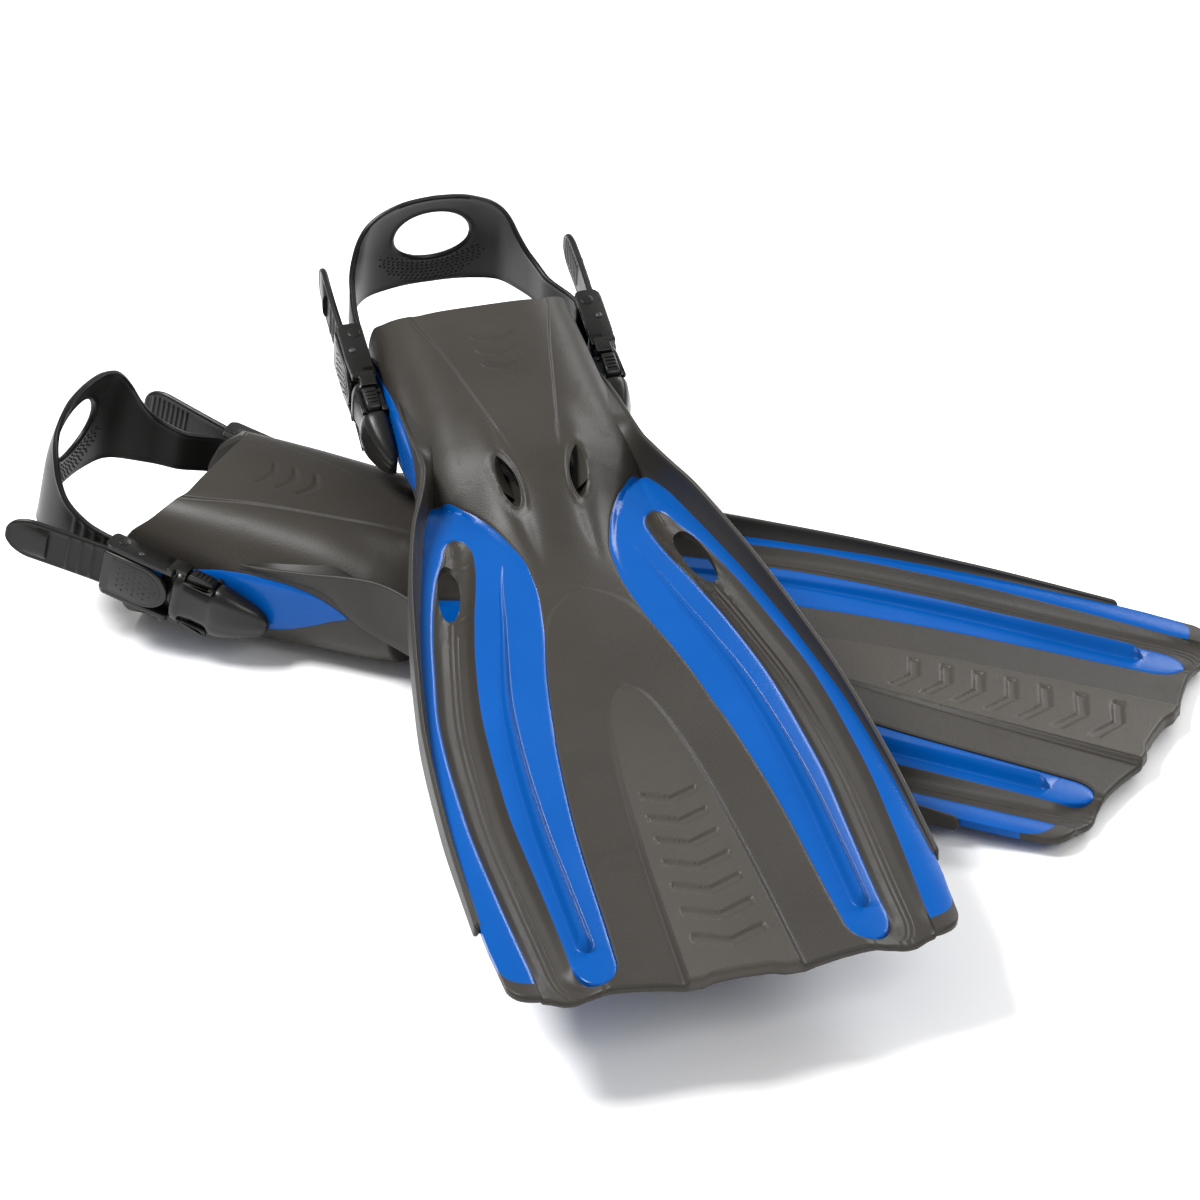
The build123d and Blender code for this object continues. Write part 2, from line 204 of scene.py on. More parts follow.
def material(name, rgb, rough, specular, grain, grain_scale, variation, mottle, scuff=0, metallic=0,
             with_painted_light=False):
    """Moulded surface with soft tone variation, fine grain and light scuffs, all procedural."""
    new = bpy.data.materials.new(name)
    new.use_nodes = True
    tree = new.node_tree
    surface = tree.nodes["Principled BSDF"]
    place = tree.nodes.new("ShaderNodeTexCoord").outputs["Object"]
    large = noise(tree, place, mottle, 5)
    fine = noise(tree, place, grain_scale, 3)

    ramp = node(tree, "ValToRGB", {"Fac": large})
    for stop, position, factor in zip(ramp.color_ramp.elements, (0.3, 0.7), (1 - variation, 1 + variation)):
        stop.position = position
        stop.color = [min(c * factor, 1) for c in lin(rgb)[:3]] + [1]
    tone = remap(tree, fine, (0.35, 0.65), (1 - variation * 0.5, 1 + variation * 0.5))
    # painted light: the colour is multiplied by the tone attribute's painted lighter wedge and crease
    # highlight
    if with_painted_light:
        painted = tree.nodes.new("ShaderNodeAttribute")
        painted.attribute_name = "tone"
        tone = maths(tree, "MULTIPLY", tone, painted.outputs["Fac"])
    colour = node(tree, "VectorMath", {0: ramp.outputs["Color"], "Scale": tone}, "SCALE")
    tree.links.new(colour.outputs["Vector"], surface.inputs["Base Color"])

    roughness = remap(tree, large, (0.3, 0.7), (rough - 0.05, rough + 0.06))
    if scuff:
        worn = remap(tree, noise(tree, place, 60, 8, 1.5), (0.58, 0.72), (0, scuff))
        roughness = maths(tree, "ADD", roughness, worn)
    tree.links.new(roughness, surface.inputs["Roughness"])
    surface.inputs["Specular IOR Level"].default_value = specular
    surface.inputs["Metallic"].default_value = metallic

    bump = node(tree, "Bump", {"Strength": grain, "Distance": 0.0004, "Height": fine})
    tree.links.new(bump.outputs["Normal"], surface.inputs["Normal"])
    return new


# Each slot's material: colour, roughness, specular, grain, grain scale, variation, mottle scale
MATERIALS = {
    # the grey rubber carries painted light from the tone attribute
    "grey_rubber": material("grey_elastomer", (46, 43, 39), 0.44, 0.22, 0.22, 1100, 0.06, 14, scuff=0.08,
                            with_painted_light=True),
    "blue_plastic": material("blue_polymer", (0, 71, 143), 0.22, 0.16, 0.05, 1400, 0.05, 12, scuff=0.05),
    "dark_rail": material("dark_rail", (43, 41, 38), 0.44, 0.22, 0.18, 1000, 0.07, 18),
    "strap_rubber": material("strap_rubber", (17, 16, 15), 0.34, 0.22, 0.14, 1200, 0.10, 22, scuff=0.08),
    "black_plastic": material("black_plastic", (18, 17, 16), 0.29, 0.32, 0.12, 1300, 0.10, 30, scuff=0.07),
    "pin_steel": material("pin_steel", (88, 88, 90), 0.35, 0.5, 0.08, 1500, 0.08, 40, metallic=0.9),
}


# ---------------------------------------------------------------- meshes
WELD = 0.004  # points this near, in millimetres, become one


def add_object(name, mesh, slot, sharp):
    """Links the mesh as an object, smooth but for edges sharper than the angle."""
    mesh.polygons.foreach_set("use_smooth", np.ones(len(mesh.polygons), bool))
    mesh.set_sharp_from_angle(angle=math.radians(sharp))
    mesh.materials.append(MATERIALS[slot])
    ob = bpy.data.objects.new(name, mesh)
    bpy.context.collection.objects.link(ob)
    return ob


def weld(points, quads):
    """Joins equal points; quads that lose one corner become triangles, and flat ones go."""
    key = np.round(points / WELD).astype(np.int64)
    _, first, inverse = np.unique(key, axis=0, return_index=True, return_inverse=True)
    f = inverse.ravel()[quads]
    same = np.stack([f[:, k] == f[:, (k + 1) % 4] for k in range(4)], 1)
    open_quad = (f[:, 0] != f[:, 2]) & (f[:, 1] != f[:, 3])
    whole = f[open_quad & (same.sum(1) == 0)]
    collapsed = open_quad & (same.sum(1) == 1)
    triangles = np.concatenate([np.delete(f[collapsed & same[:, k]], k, 1) for k in range(4)])
    return points[first], whole, triangles


def sheet(name, fin, points, quads, slot, sharp):
    """Object from points of the fin frame and quads that may have collapsed corners."""
    points, quads, triangles = weld(to_row(fin, points) * 1000, quads)
    used, corners = np.unique(np.concatenate([quads.ravel(), triangles.ravel()]), return_inverse=True)
    sizes = np.repeat([4, 3], [len(quads), len(triangles)])
    mesh = bpy.data.meshes.new(name)
    mesh.vertices.add(len(used))
    mesh.vertices.foreach_set("co", points[used].astype(np.float32).ravel())
    mesh.loops.add(len(corners))
    mesh.loops.foreach_set("vertex_index", corners.astype(np.int32))
    mesh.polygons.add(len(sizes))
    mesh.polygons.foreach_set("loop_start", (np.cumsum(sizes) - sizes).astype(np.int32))
    mesh.polygons.foreach_set("loop_total", sizes.astype(np.int32))
    mesh.update(calc_edges=True)
    mesh.validate()
    ob = add_object(name, mesh, slot, sharp)
    mesh.transform(Matrix.Scale(MM, 4))
    return ob


def solid(name, parts, slot):
    """One object of several closed pieces, normals facing out."""
    bm = bmesh.new()
    for points, faces in parts:
        corners = [bm.verts.new(tuple(p)) for p in points]
        for face in faces:
            bm.faces.new([corners[i] for i in face])
    bmesh.ops.recalc_face_normals(bm, faces=bm.faces)
    mesh = bpy.data.meshes.new(name)
    bm.to_mesh(mesh)
    bm.free()
    return add_object(name, mesh, slot, 42)


def cells(i, j, width, offset=0):
    """Quads of the grid cells (i, j), in a grid with so many points to a row."""
    o = offset + i * width + j
    return np.stack([o, o + 1, o + width + 1, o + width], -1)


# Step to each neighbouring cell, and the two corners of the side that they share
NEIGHBOURS = (
    ((0, 1), (0, 1), (1, 1)),
    ((0, -1), (1, 0), (0, 0)),
    ((1, 0), (1, 1), (1, 0)),
    ((-1, 0), (0, 0), (0, 1)),
)


def borders(mask):
    """For each direction: the cells just beyond the masked ones, and the corners of the sides between."""
    rows, cols = mask.shape
    around = np.pad(mask, 1)
    for (di, dj), start, end in NEIGHBOURS:
        i, j = np.nonzero(mask & ~around[1 + di:rows + 1 + di, 1 + dj:cols + 1 + dj])
        yield (i + di, j + dj), (i + start[0], j + start[1]), (i + end[0], j + end[1])


def wall(start, end, width, top, bottom):
    """Quads between two grids along the sides from start to end."""
    s, e = start[0] * width + start[1], end[0] * width + end[1]
    return np.stack([top + e, bottom + e, bottom + s, top + s], -1)


def grid_faces(rows, cols, closed=True):
    """Quads between neighbouring rows of points; closed rows join their ends."""
    i, j = np.meshgrid(np.arange(rows - 1), np.arange(cols if closed else cols - 1), indexing="ij")
    after = (j + 1) % cols
    quads = np.stack([i * cols + j, i * cols + after, (i + 1) * cols + after, (i + 1) * cols + j], -1)
    return quads.reshape(-1, 4).tolist()


def stitch(rings):
    """Rings of points joined in order and closed by flat caps."""
    n, count = len(rings[0]), len(rings)
    caps = [list(range(n - 1, -1, -1)), list(range((count - 1) * n, count * n))]
    return np.concatenate(rings), grid_faces(count, n) + caps


def round_poly(points, r, seg=5):
    """Outline with its corners rounded by r."""
    points = np.array(points, float)
    out = []
    for p, before, after in zip(points, np.roll(points, 1, 0), np.roll(points, -1, 0)):
        back, ahead = np.linalg.norm(before - p), np.linalg.norm(after - p)
        d = min(r, 0.45 * back, 0.45 * ahead)
        s, e = p + (before - p) / back * d, p + (after - p) / ahead * d
        for t in np.linspace(0, 1, seg):
            out.append((1 - t) ** 2 * s + 2 * t * (1 - t) * p + t * t * e)
    return np.array(out)


def prism(outline, lo, hi, bevel=0.6, seg=3):
    """Closed outline (p, q) drawn from height lo to hi with rounded edges; points are (p, q, height)."""
    o = np.array(outline, float)
    after = np.roll(o, -1, 0)
    if np.sum(o[:, 0] * after[:, 1] - after[:, 0] * o[:, 1]) < 0:
        o = o[::-1]
    along = np.roll(o, -1, 0) - np.roll(o, 1, 0)
    along /= np.maximum(np.linalg.norm(along, axis=1), 1e-9)[:, None]
    inward = np.stack([-along[:, 1], along[:, 0]], 1)
    quarter = [0.5 * math.pi * k / seg for k in range(seg + 1)]
    rings = [(1 - math.sin(a), lo + bevel * (1 - math.cos(a))) for a in quarter]
    rings += [(1 - math.sin(a), hi - bevel * (1 - math.cos(a))) for a in reversed(quarter)]
    return stitch([np.column_stack([o + inward * bevel * k, np.full(len(o), h)]) for k, h in rings])


def prism_beside(side, outline, near, far, bevel, seg=3):
    """Prism whose height runs from near to far, upwards or, for side -1, downwards."""
    lo, hi = sorted((side * near, side * far))
    return prism(outline, lo, hi, bevel, seg)


def prism_x(outline, lo, hi, bevel, seg=3):
    """Outline (u, w) drawn along x from lo to hi; points are (x, u, w)."""
    points, faces = prism(outline, lo, hi, bevel, seg)
    return points[:, [2, 0, 1]], faces


def dome(centre, axes, radius, height, sides=8, rings=3):
    """Small dome on the plane of the first two axes, rising along the third."""
    a, b, normal = (np.array(v, float) for v in axes)
    turn = np.linspace(0, 2 * np.pi, sides, endpoint=False)[:, None]
    points = []
    for rise in 0.5 * np.pi * np.arange(rings) / rings:
        around = np.cos(turn) * a + np.sin(turn) * b
        points.append(centre + radius * np.cos(rise) * around + height * np.sin(rise) * normal)
    points.append((centre + height * normal)[None])
    last, pole = (rings - 1) * sides, rings * sides
    cap = [[last + j, last + (j + 1) % sides, pole] for j in range(sides)]
    return np.concatenate(points), grid_faces(rings, sides) + cap


# ---------------------------------------------------------------- the fin's outlines
# Each curve goes through (y, value) points, and its x values are measured from the middle.
HEEL, TIP_END = -480, 24
POCKET_END = -355  # the pocket's rows come before this, the blue panels after it
CHANNEL_START, CHANNEL_START_X = -322, 50.2
# Round end of the panel, vent and through hole: middle and half sizes
PANEL_END = SimpleNamespace(y=3, x=62.3, width=10.3, length=16.4)
VENT = SimpleNamespace(y=-343, x=17.8, lean=0.16, length=14.5, width=4.5)
HOLE = SimpleNamespace(y=-284, length=20, width=5.5)
PANEL_STOP, STRIP_STOP = 19.4, 14

POCKET_SIDE = [
    (-512, 51.5), (-482, 52.3), (-460, 53), (-440, 53.5), (-420, 54), (-400, 54.6), (-370, 56.5),
    (-355, 57.4),
]
BLADE_SIDE = [
    (-341, 60.3), (-325, 64.6), (-298, 71.6), (-252, 82.6), (-213, 90), (-187, 94), (-165, 97.3),
    (-121, 102.6), (-80, 104.6), (-41, 105), (0, 104.8), (10, 104.2), (18, 103.6), (24, 103.2),
]
SIDE_X = curve(POCKET_SIDE + BLADE_SIDE)
PANEL_X = curve(POCKET_SIDE + [
    (-352, 49), (-343, 41), (-333, 34.2), (-313, 26), (-289, 20.8), (-275, 20.6), (-243, 24.3), (-199, 33),
    (-131, 43), (-77, 48), (-13, 51), (3, 52),
])
CHANNEL_X = curve([
    (-322, 50.2), (-320, 47), (-316, 44.6), (-310, 43.6), (-298, 45), (-256, 55), (-224, 62), (-175, 69.6),
    (-137, 72.4), (-98, 74), (-60, 73.2), (-8, 72.4), (3, 72.6),
])
STRIP_X = curve([
    (-322, 50.2), (-320, 53.2), (-316, 55.8), (-308, 58.6), (-291, 65.5), (-250, 76.5), (-220, 82.4),
    (-175, 90), (-138, 92.7), (-95, 94), (-55, 93), (-14, 91.3), (9, 90.3), (24, 90.3),
])
CHANNEL_DEPTH = curve([
    (-322, 0), (-318, 1.6), (-305, 3.6), (-280, 5.2), (-200, 6.4), (-100, 6.4), (-40, 5.4), (0, 3.8),
    (24, 2.8),
])
HOLE_X = curve([(-304, 57.2), (-264, 65.2)])
RIB_X = curve([
    (-300, 31), (-282, 36), (-245, 43.5), (-215, 50), (-183, 56), (-155, 59.2), (-125, 61.5), (-75, 63.3),
    (-35, 63.4), (0, 63.4),
])
RIB_WIDTH = curve([(-300, 0.8), (-245, 1.9), (-196, 2.7), (-158, 3.2), (-108, 3.8), (-20, 4.4), (0, 4.4)])
RIB_HEIGHT = curve([
    (-300, 0), (-282, 0.5), (-245, 1.5), (-196, 2.8), (-158, 3.9), (-108, 5), (-40, 6), (-9, 6), (-5, 4.6),
    (-2.6, 1.6), (-1.8, 0),
])
ARCH_X = curve([
    (-266, 0.1), (-262, 7), (-257, 13), (-250, 19), (-226, 28), (-196, 35.5), (-164, 38.5), (-120, 60),
])
WEDGE_X = curve([
    (-186, 0.5), (-182, 5), (-172, 9.5), (-150, 14), (-110, 18.6), (-70, 21.2), (-20, 23.6), (24, 25.3),
])
CREASE_ON_INSTEP = [(-480, 35), (-470, 33), (-445, 27.2), (-410, 20.6), (-380, 15)]
CREASE_X = curve(CREASE_ON_INSTEP + [(-362, 11.4), (-350, 9)])
INNER_X = curve(CREASE_ON_INSTEP + [(-340, 14), (-322, 11), (-290, 8), (-250, 6), (-190, 0.5)])

# Section of the pocket and blade: heights, half width of the dome and exponents of its shape
TOP_Z = curve([
    (-512, 31.4), (-480, 31.2), (-440, 30), (-400, 27.6), (-372, 25.4), (-360, 24), (-350, 21.5),
    (-338, 17.5), (-325, 13.5), (-310, 9.8), (-290, 6.2), (-260, 3.6), (-200, 2.4), (31, 2.2),
])
SIDE_Z = curve([
    (-512, -10), (-440, -10), (-400, -9), (-372, -7), (-360, -4.5), (-350, -1.5), (-335, 0.3), (31, 0.3),
])
BELLY_Z = curve([
    (-370, -41), (-355, -39.6), (-342, -34.5), (-325, -24), (-306, -12.5), (-288, -5), (-268, -2.2),
    (-240, -1.5), (31, -1.5),
])
DOME_X = curve(POCKET_SIDE[:-1] + [
    (-364, 55.6), (-352, 49.8), (-343, 43), (-333, 36.8), (-313, 29.2), (-298, 25.8), (-280, 24.6),
    (-240, 30), (-200, 37), (-120, 47), (31, 52),
])
TOP_SQUARE = curve([
    (-512, 4.5), (-480, 4.5), (-440, 4.7), (-400, 4.6), (-375, 3.6), (-350, 2.3), (-330, 2),
])
TOP_FULL = curve([(-480, 2.8), (-440, 2.3), (-400, 2), (-360, 1.5), (-330, 1.05), (-300, 1)])
SOLE_SQUARE, SOLE_FULL = 3.2, 2.8

# The tip's reach in y for each x, and how far the pocket's opening is cut back for each z
TIP_Y = curve([
    (0, 28.5), (12, 29), (20, 31.5), (26, 31.5), (33, 29.5), (50, 26), (60, 25), (69, 25), (76, 26),
    (80, 25.6), (86, 23), (93, 22), (99, 19.5), (103, 13.5), (105, 0.5),
])
OPENING_Y = curve([
    (-60, 33.5), (-10, 33.5), (5, 27.5), (9.8, 24.5), (17.6, 15.5), (27.5, 4.5), (30, 0.6), (32, 0),
])

# Rows are closer together where there is detail: (from, to, distance)
ROW_STEP = 2.3
FINE_ROWS = [
    (-480, -474, 1.2), (-462, -414, 1), (-359, -327, 0.75), (-323, -309, 0.75), (-305, -298, 0.6),
    (-270, -262, 0.6), (-262, -246, 1), (-190, -160, 0.9), (-118, 0, 0.9), (0, 24.01, 0.7),
]

# Bands of cells from the middle to the edge, with their numbers of cells
BANDS = [
    ("crown", 34), ("vent", 8), ("flank", 20), ("panel", 9), ("panel", 10), ("panel", 8), ("channel", 7),
    ("hole", 12), ("channel", 7), ("strip", 10),
]
CELL_KIND = np.repeat([kind for kind, _ in BANDS], [count for _, count in BANDS])
COLUMN_BAND, COLUMN_PART = columns([count for _, count in BANDS])
COLUMN_KIND = np.append(CELL_KIND, "strip")
CENTRE = np.isin(COLUMN_KIND, ("crown", "vent", "flank"))
PANEL = COLUMN_KIND == "panel"
CHANNEL = np.isin(COLUMN_KIND, ("channel", "hole"))
STRIP = COLUMN_KIND == "strip"


def sole_z(y):
    return SOLE_Z + SOLE_SLOPE * (y - SOLE_Y)


def surf_x(y, z):
    """Half width of the foot pocket at height z."""
    side, top = SIDE_Z(y), TOP_Z(y)
    up = clip01((z - side) / (top - side))
    down = clip01((side - z) / (side - sole_z(y)))
    above = (1 - up ** TOP_FULL(y)) ** (1 / TOP_SQUARE(y))
    below = (1 - down ** SOLE_FULL) ** (1 / SOLE_SQUARE)
    return SIDE_X(y) * np.where(z > side, above, below)


def row_positions():
    y = HEEL
    out = []
    while y < TIP_END:
        out.append(y)
        distance = ROW_STEP
        for start, stop, fine in FINE_ROWS:
            if start <= y < stop:
                distance = fine
        starts = [start for start, _, _ in FINE_ROWS if y < start < y + distance]
        y = min(starts, default=y + distance)
    return np.array(out + [TIP_END])


def outlines(y):
    """x of the outlines that the shell's columns follow, one value for each row."""
    pocket, rounded, early = y <= POCKET_END, y > PANEL_END.y, y < CHANNEL_START
    side = SIDE_X(y)
    bow = PANEL_END.width * arc((y - PANEL_END.y) / PANEL_END.length)
    panel = np.where(pocket, side, np.where(rounded, PANEL_END.x - bow, PANEL_X(y)))
    start = np.clip(CHANNEL_START_X, panel, side)
    channel = np.where(rounded, PANEL_END.x + bow, np.where(early, start, CHANNEL_X(y)))
    channel = np.where(pocket, side, channel)
    strip = np.where(pocket, side, np.where(early, start, STRIP_X(y)))

    # the vent's outline, left and right of it, runs out into the wedge's edge
    middle = VENT.x - VENT.lean * (y - VENT.y)
    along = y - VENT.y
    half = VENT.width * clip01(1 - (along / VENT.length) ** 2) ** 0.85
    is_vent = np.abs(along) < VENT.length
    near = between((-378, -357.6), (-328.4, -312), y)
    on_blade = step(-200, -188, y)
    inner = np.where(is_vent, middle - half, blend(INNER_X(y), middle, near))
    outer = np.where(is_vent, middle + half, blend(INNER_X(y) + 3, middle + 0.02, near))
    inner = blend(inner, WEDGE_X(y), on_blade)
    outer = blend(outer, WEDGE_X(y) + 2.2, on_blade)

    rib = RIB_WIDTH(y) * np.sqrt(np.clip(1 - (np.clip(y + 8, 0, 6) / 6) ** 2, 0.03, 1))
    rib_edges = np.clip([RIB_X(y) - rib, RIB_X(y) + rib], panel, channel)

    along = np.abs(y - HOLE.y)
    half = HOLE.width * np.sqrt(clip01(1 - (along / HOLE.length) ** 2.6))
    near = between((CHANNEL_START, -304.2), (-263.8, -240), y)
    hole_edges = []
    for sign in (-1, 1):
        away = blend(0.5 * (channel + strip) + sign * 0.12 * (strip - channel), HOLE_X(y), near)
        hole_edges.append(np.where(along < HOLE.length, HOLE_X(y) + sign * half, away))
    hole_edges = np.clip(hole_edges, channel, strip)

    knots = [np.zeros(len(y)), inner, outer, panel, *rib_edges, channel, *hole_edges, strip, side]
    named = {"pocket": pocket, "side": side, "panel": panel, "channel": channel, "strip": strip,
             "vent": middle, "rib": rib}
    return SimpleNamespace(knots=np.stack(knots, 1), **{key: v[:, None] for key, v in named.items()})


def column_x(o, y):
    """x of every point; the columns over the foot are spaced by angle round the section."""
    lo, hi = o.knots[:, COLUMN_BAND], o.knots[:, COLUMN_BAND + 1]
    power = TOP_SQUARE(y)
    start, end = (np.arcsin(clip01(x / o.panel) ** (power / 2)) for x in (lo, hi))
    turned = o.panel * np.sin(start + (end - start) * COLUMN_PART) ** (2 / power)
    return np.where(CENTRE, turned, lo + (hi - lo) * COLUMN_PART)


# ---------------------------------------------------------------- heights of the shell
def instep_relief(o, x, y):
    """Creases, hollows and chevrons over the foot."""
    past = x - CREASE_X(y)
    z = -0.9 * (1 - step(-372, -356, y)) * step(0, 1.5, past) * np.exp(-np.maximum(past - 1.5, 0) / 8)
    # long soft hollows from the vents towards the blade
    hollow, width = 16.6 - 0.05 * (y + 330), 4.6 - 2.4 * step(-330, -285, y)
    z -= 1.5 * between((-352, -332), (-318, -280), y) * bell(x - hollow, width)
    # raised frame round each vent
    frame_ring = np.sqrt(((x - o.vent) / 5.6) ** 2 + ((y - VENT.y) / 17.5) ** 2)
    z += 0.8 * bell(frame_ring - 1, 0.16)
    # hollow beside the toes and the swelling over them
    beside = 33 + 0.10 * (y + 370)
    z -= between((-405, -375), (-352, -335), y) * bell(x - beside, 7)
    z += 0.8 * between((-400, -370), (-340, -315), y) * bell(x - beside + 11, 7)
    # three recessed chevrons in place of lettering
    for middle in (-446, -434, -422):
        stroke = np.abs(y + 0.55 * x - middle) - 1.1
        z -= 0.8 * (1 - step(-1, 0.8, stroke)) * (1 - step(-1, 0.8, x - 10.5))
    return z


def blade_relief(x, y):
    """Soft arch and raised wedge along the blade's middle."""
    z = 0.9 * step(-268, -264, y) * (1 - step(-1.6, 1.6, x - ARCH_X(y)))
    wedge = WEDGE_X(y)
    height = step(-189, -184, y) * (0.6 + 2.6 * clip01((y + 186) / 210) ** 1.1)
    dish = 0.86 + 0.14 * (x / wedge) ** 2 * (x < wedge)
    z += height * (1 - step(-0.6, 2.6, x - wedge)) * dish
    # recessed chevrons in place of lettering
    for middle in np.arange(-96, 14, 17):
        stroke = np.abs(y + 0.42 * x - middle) - 2.6
        inside = (1 - step(-0.7, 0.5, stroke)) * (1 - step(-0.8, 0.6, x - (0.74 * wedge - 1)))
        z -= 1.15 * inside * step(-112, -104, y)
    return z


def panel_relief(o, x, y):
    """Slight crown, the rib and the slopes beside it."""
    across = clip01((x - o.panel) / np.maximum(o.channel - o.panel, 1e-6))
    crown = 0.45 * (1 - (2 * across - 1) ** 2) * step(-330, -290, y)
    from_rib = x - RIB_X(y)
    rib = (0.5 + 0.5 * np.cos(np.pi * np.clip(from_rib / np.maximum(o.rib, 0.3), -1, 1))) ** 0.85
    slopes = 0.10 * clip01(1 - np.abs(from_rib) / 12)
    return crown + RIB_HEIGHT(y) * (rib + slopes)


def channel_relief(o, x, y):
    """Depth of the water channel, and the fine lines along it."""
    across = clip01(np.abs(x - 0.5 * (o.channel + o.strip)) / np.maximum(0.5 * (o.strip - o.channel), 1e-6))
    at_tip = clip01(1 - np.abs((x - 78) / 15.5) ** 2.2)
    depth = CHANNEL_DEPTH(y) * blend(clip01(1 - across ** 2.4), at_tip, step(3, 18, y))
    return depth, 0.045 * depth * np.cos(7.5 * np.pi * across)


def seam_relief(o, x, y):
    """Fine grooves between the blue and the grey material."""
    on_blade = y > CHANNEL_START
    z = np.zeros_like(x)
    for edge, live in ((o.panel, y < PANEL_STOP), (o.channel, on_blade & (y < PANEL_STOP)),
                       (o.strip, on_blade & (y < STRIP_STOP))):
        z -= step(-356, -350, y) * live * 0.38 * bell(x - edge, 0.55)
    return z


def surfaces(o, x, y):
    """Points of the upper and the under side, and the pocket's side and sole heights."""
    side_z = blend(SIDE_Z(y), 2.2, step(-368, -334, y))
    dome_x = np.where(y <= -370, o.side, DOME_X(y))
    swell = clip01(1 - (x / dome_x) ** TOP_SQUARE(y)) ** (1 / TOP_FULL(y))
    depth, lines = channel_relief(o, x, y)
    across = clip01((x - o.strip) / np.maximum(o.side - o.strip, 1e-6))
    top = side_z + (TOP_Z(y) - side_z) * swell
    top += CENTRE * (instep_relief(o, x, y) + blade_relief(x, y)) + PANEL * panel_relief(o, x, y)
    top += STRIP * 0.5 * (1 - (2 * across - 1) ** 2) - CHANNEL * (depth + lines) + seam_relief(o, x, y)

    at_heel = 1 - step(-480, -440, y)
    sole = sole_z(y - 31 * at_heel)
    low = np.where(y < -366, sole, np.maximum(BELLY_Z(y), sole))
    under_side = blend(side_z, -1.5, step(-355, -345, y))
    square = SOLE_SQUARE - step(-366, -320, y)
    bulge = clip01(1 - clip01(x / o.panel) ** square) ** (1 / SOLE_FULL)
    bottom = under_side + CENTRE * (low - under_side) * bulge - CHANNEL * depth * 0.96

    # the tip's edge is rounded
    closing = 0.75 * (1 - arc(1 - clip01((TIP_END - y) / 1.6)))
    middle = 0.5 * (top + bottom)
    top, bottom = blend(top, middle, closing), blend(bottom, middle, closing)

    # the rows are bent to the wavy tip and to the sloping opening
    bent = y + step(-45, TIP_END, y) * (TIP_Y(x) - TIP_END)
    top_y, bottom_y = (bent + at_heel * (2.5 - OPENING_Y(z)) for z in (top, bottom))
    bottom_y[:, -1] = top_y[:, -1]
    bottom[:, -1] = np.where(o.pocket[:, 0], top[:, -1], bottom[:, -1])
    points = []
    for row_y, z in ((top_y, top), (bottom_y, bottom)):
        points.append(np.stack([x * np.where(o.pocket, SIDE_X(row_y) / SIDE_X(y), 1), row_y, z], -1))
    return points, side_z, sole


def cavity(o, y, points, side_z, sole):
    """Inner skins of the foot pocket, closed towards the toes."""
    toe, length, axis_z, wall_x = -366, 27, -6, 4.3
    rows = slice(0, int(np.searchsorted(y[:, 0], toe + length)) + 1)
    shrink = arc(clip01((y[rows] - toe) / length))
    side_z = side_z[rows]
    skins = []
    above, below = TOP_Z(y[rows]) - side_z, side_z - sole[rows]
    for outer, thick, full in ((points[0], 4.2, above), (points[1], 6, below)):
        inner = outer[rows].copy()
        z = side_z + (inner[..., 2] - side_z) * clip01((full - thick) / full)
        inner[..., 0] *= clip01((o.panel[rows] - wall_x) / o.panel[rows]) * shrink
        inner[..., 2] = axis_z + (z - axis_z) * shrink
        skins.append(inner)
    return skins


GREY_CELL, BLUE_CELL, HOLE_CELL, VENT_CELL = range(4)


def cell_labels(x, y):
    """What each cell is: grey, blue, through hole or vent."""
    y = 0.5 * (y[1:] + y[:-1])
    blue = ((CELL_KIND == "panel") & (y < PANEL_STOP)) | ((CELL_KIND == "strip") & (y < STRIP_STOP))
    blue = blue & (y > -355.2)
    hole = (CELL_KIND == "hole") & (np.abs(y - HOLE.y) < HOLE.length - 0.2)
    vent = (CELL_KIND == "vent") & (np.abs(y - VENT.y) < VENT.length - 0.3)
    labels = np.select([blue, hole, vent], [BLUE_CELL, HOLE_CELL, VENT_CELL], GREY_CELL)
    # cells without width take the label of the next wider cell on the inner side
    widths = np.diff(x, axis=1)
    narrow = 0.5 * (widths[1:] + widths[:-1]) < 2e-3
    for row, thin in zip(labels, narrow):
        good = np.where(~thin)[0]
        source = good[np.clip(np.searchsorted(good, np.arange(len(row))) - 1, 0, len(good) - 1)]
        row[thin] = row[source][thin]
    return labels


# ---------------------------------------------------------------- the shell's meshes
OUTSIDE, UNDERSIDE, ROOF, INSOLE, TOP_LIP, SOLE_LIP = range(6)


def whole(half):
    """Half grid mirrored to the full width."""
    return np.concatenate([half[:, :0:-1] * [-1, 1, 1], half], 1)


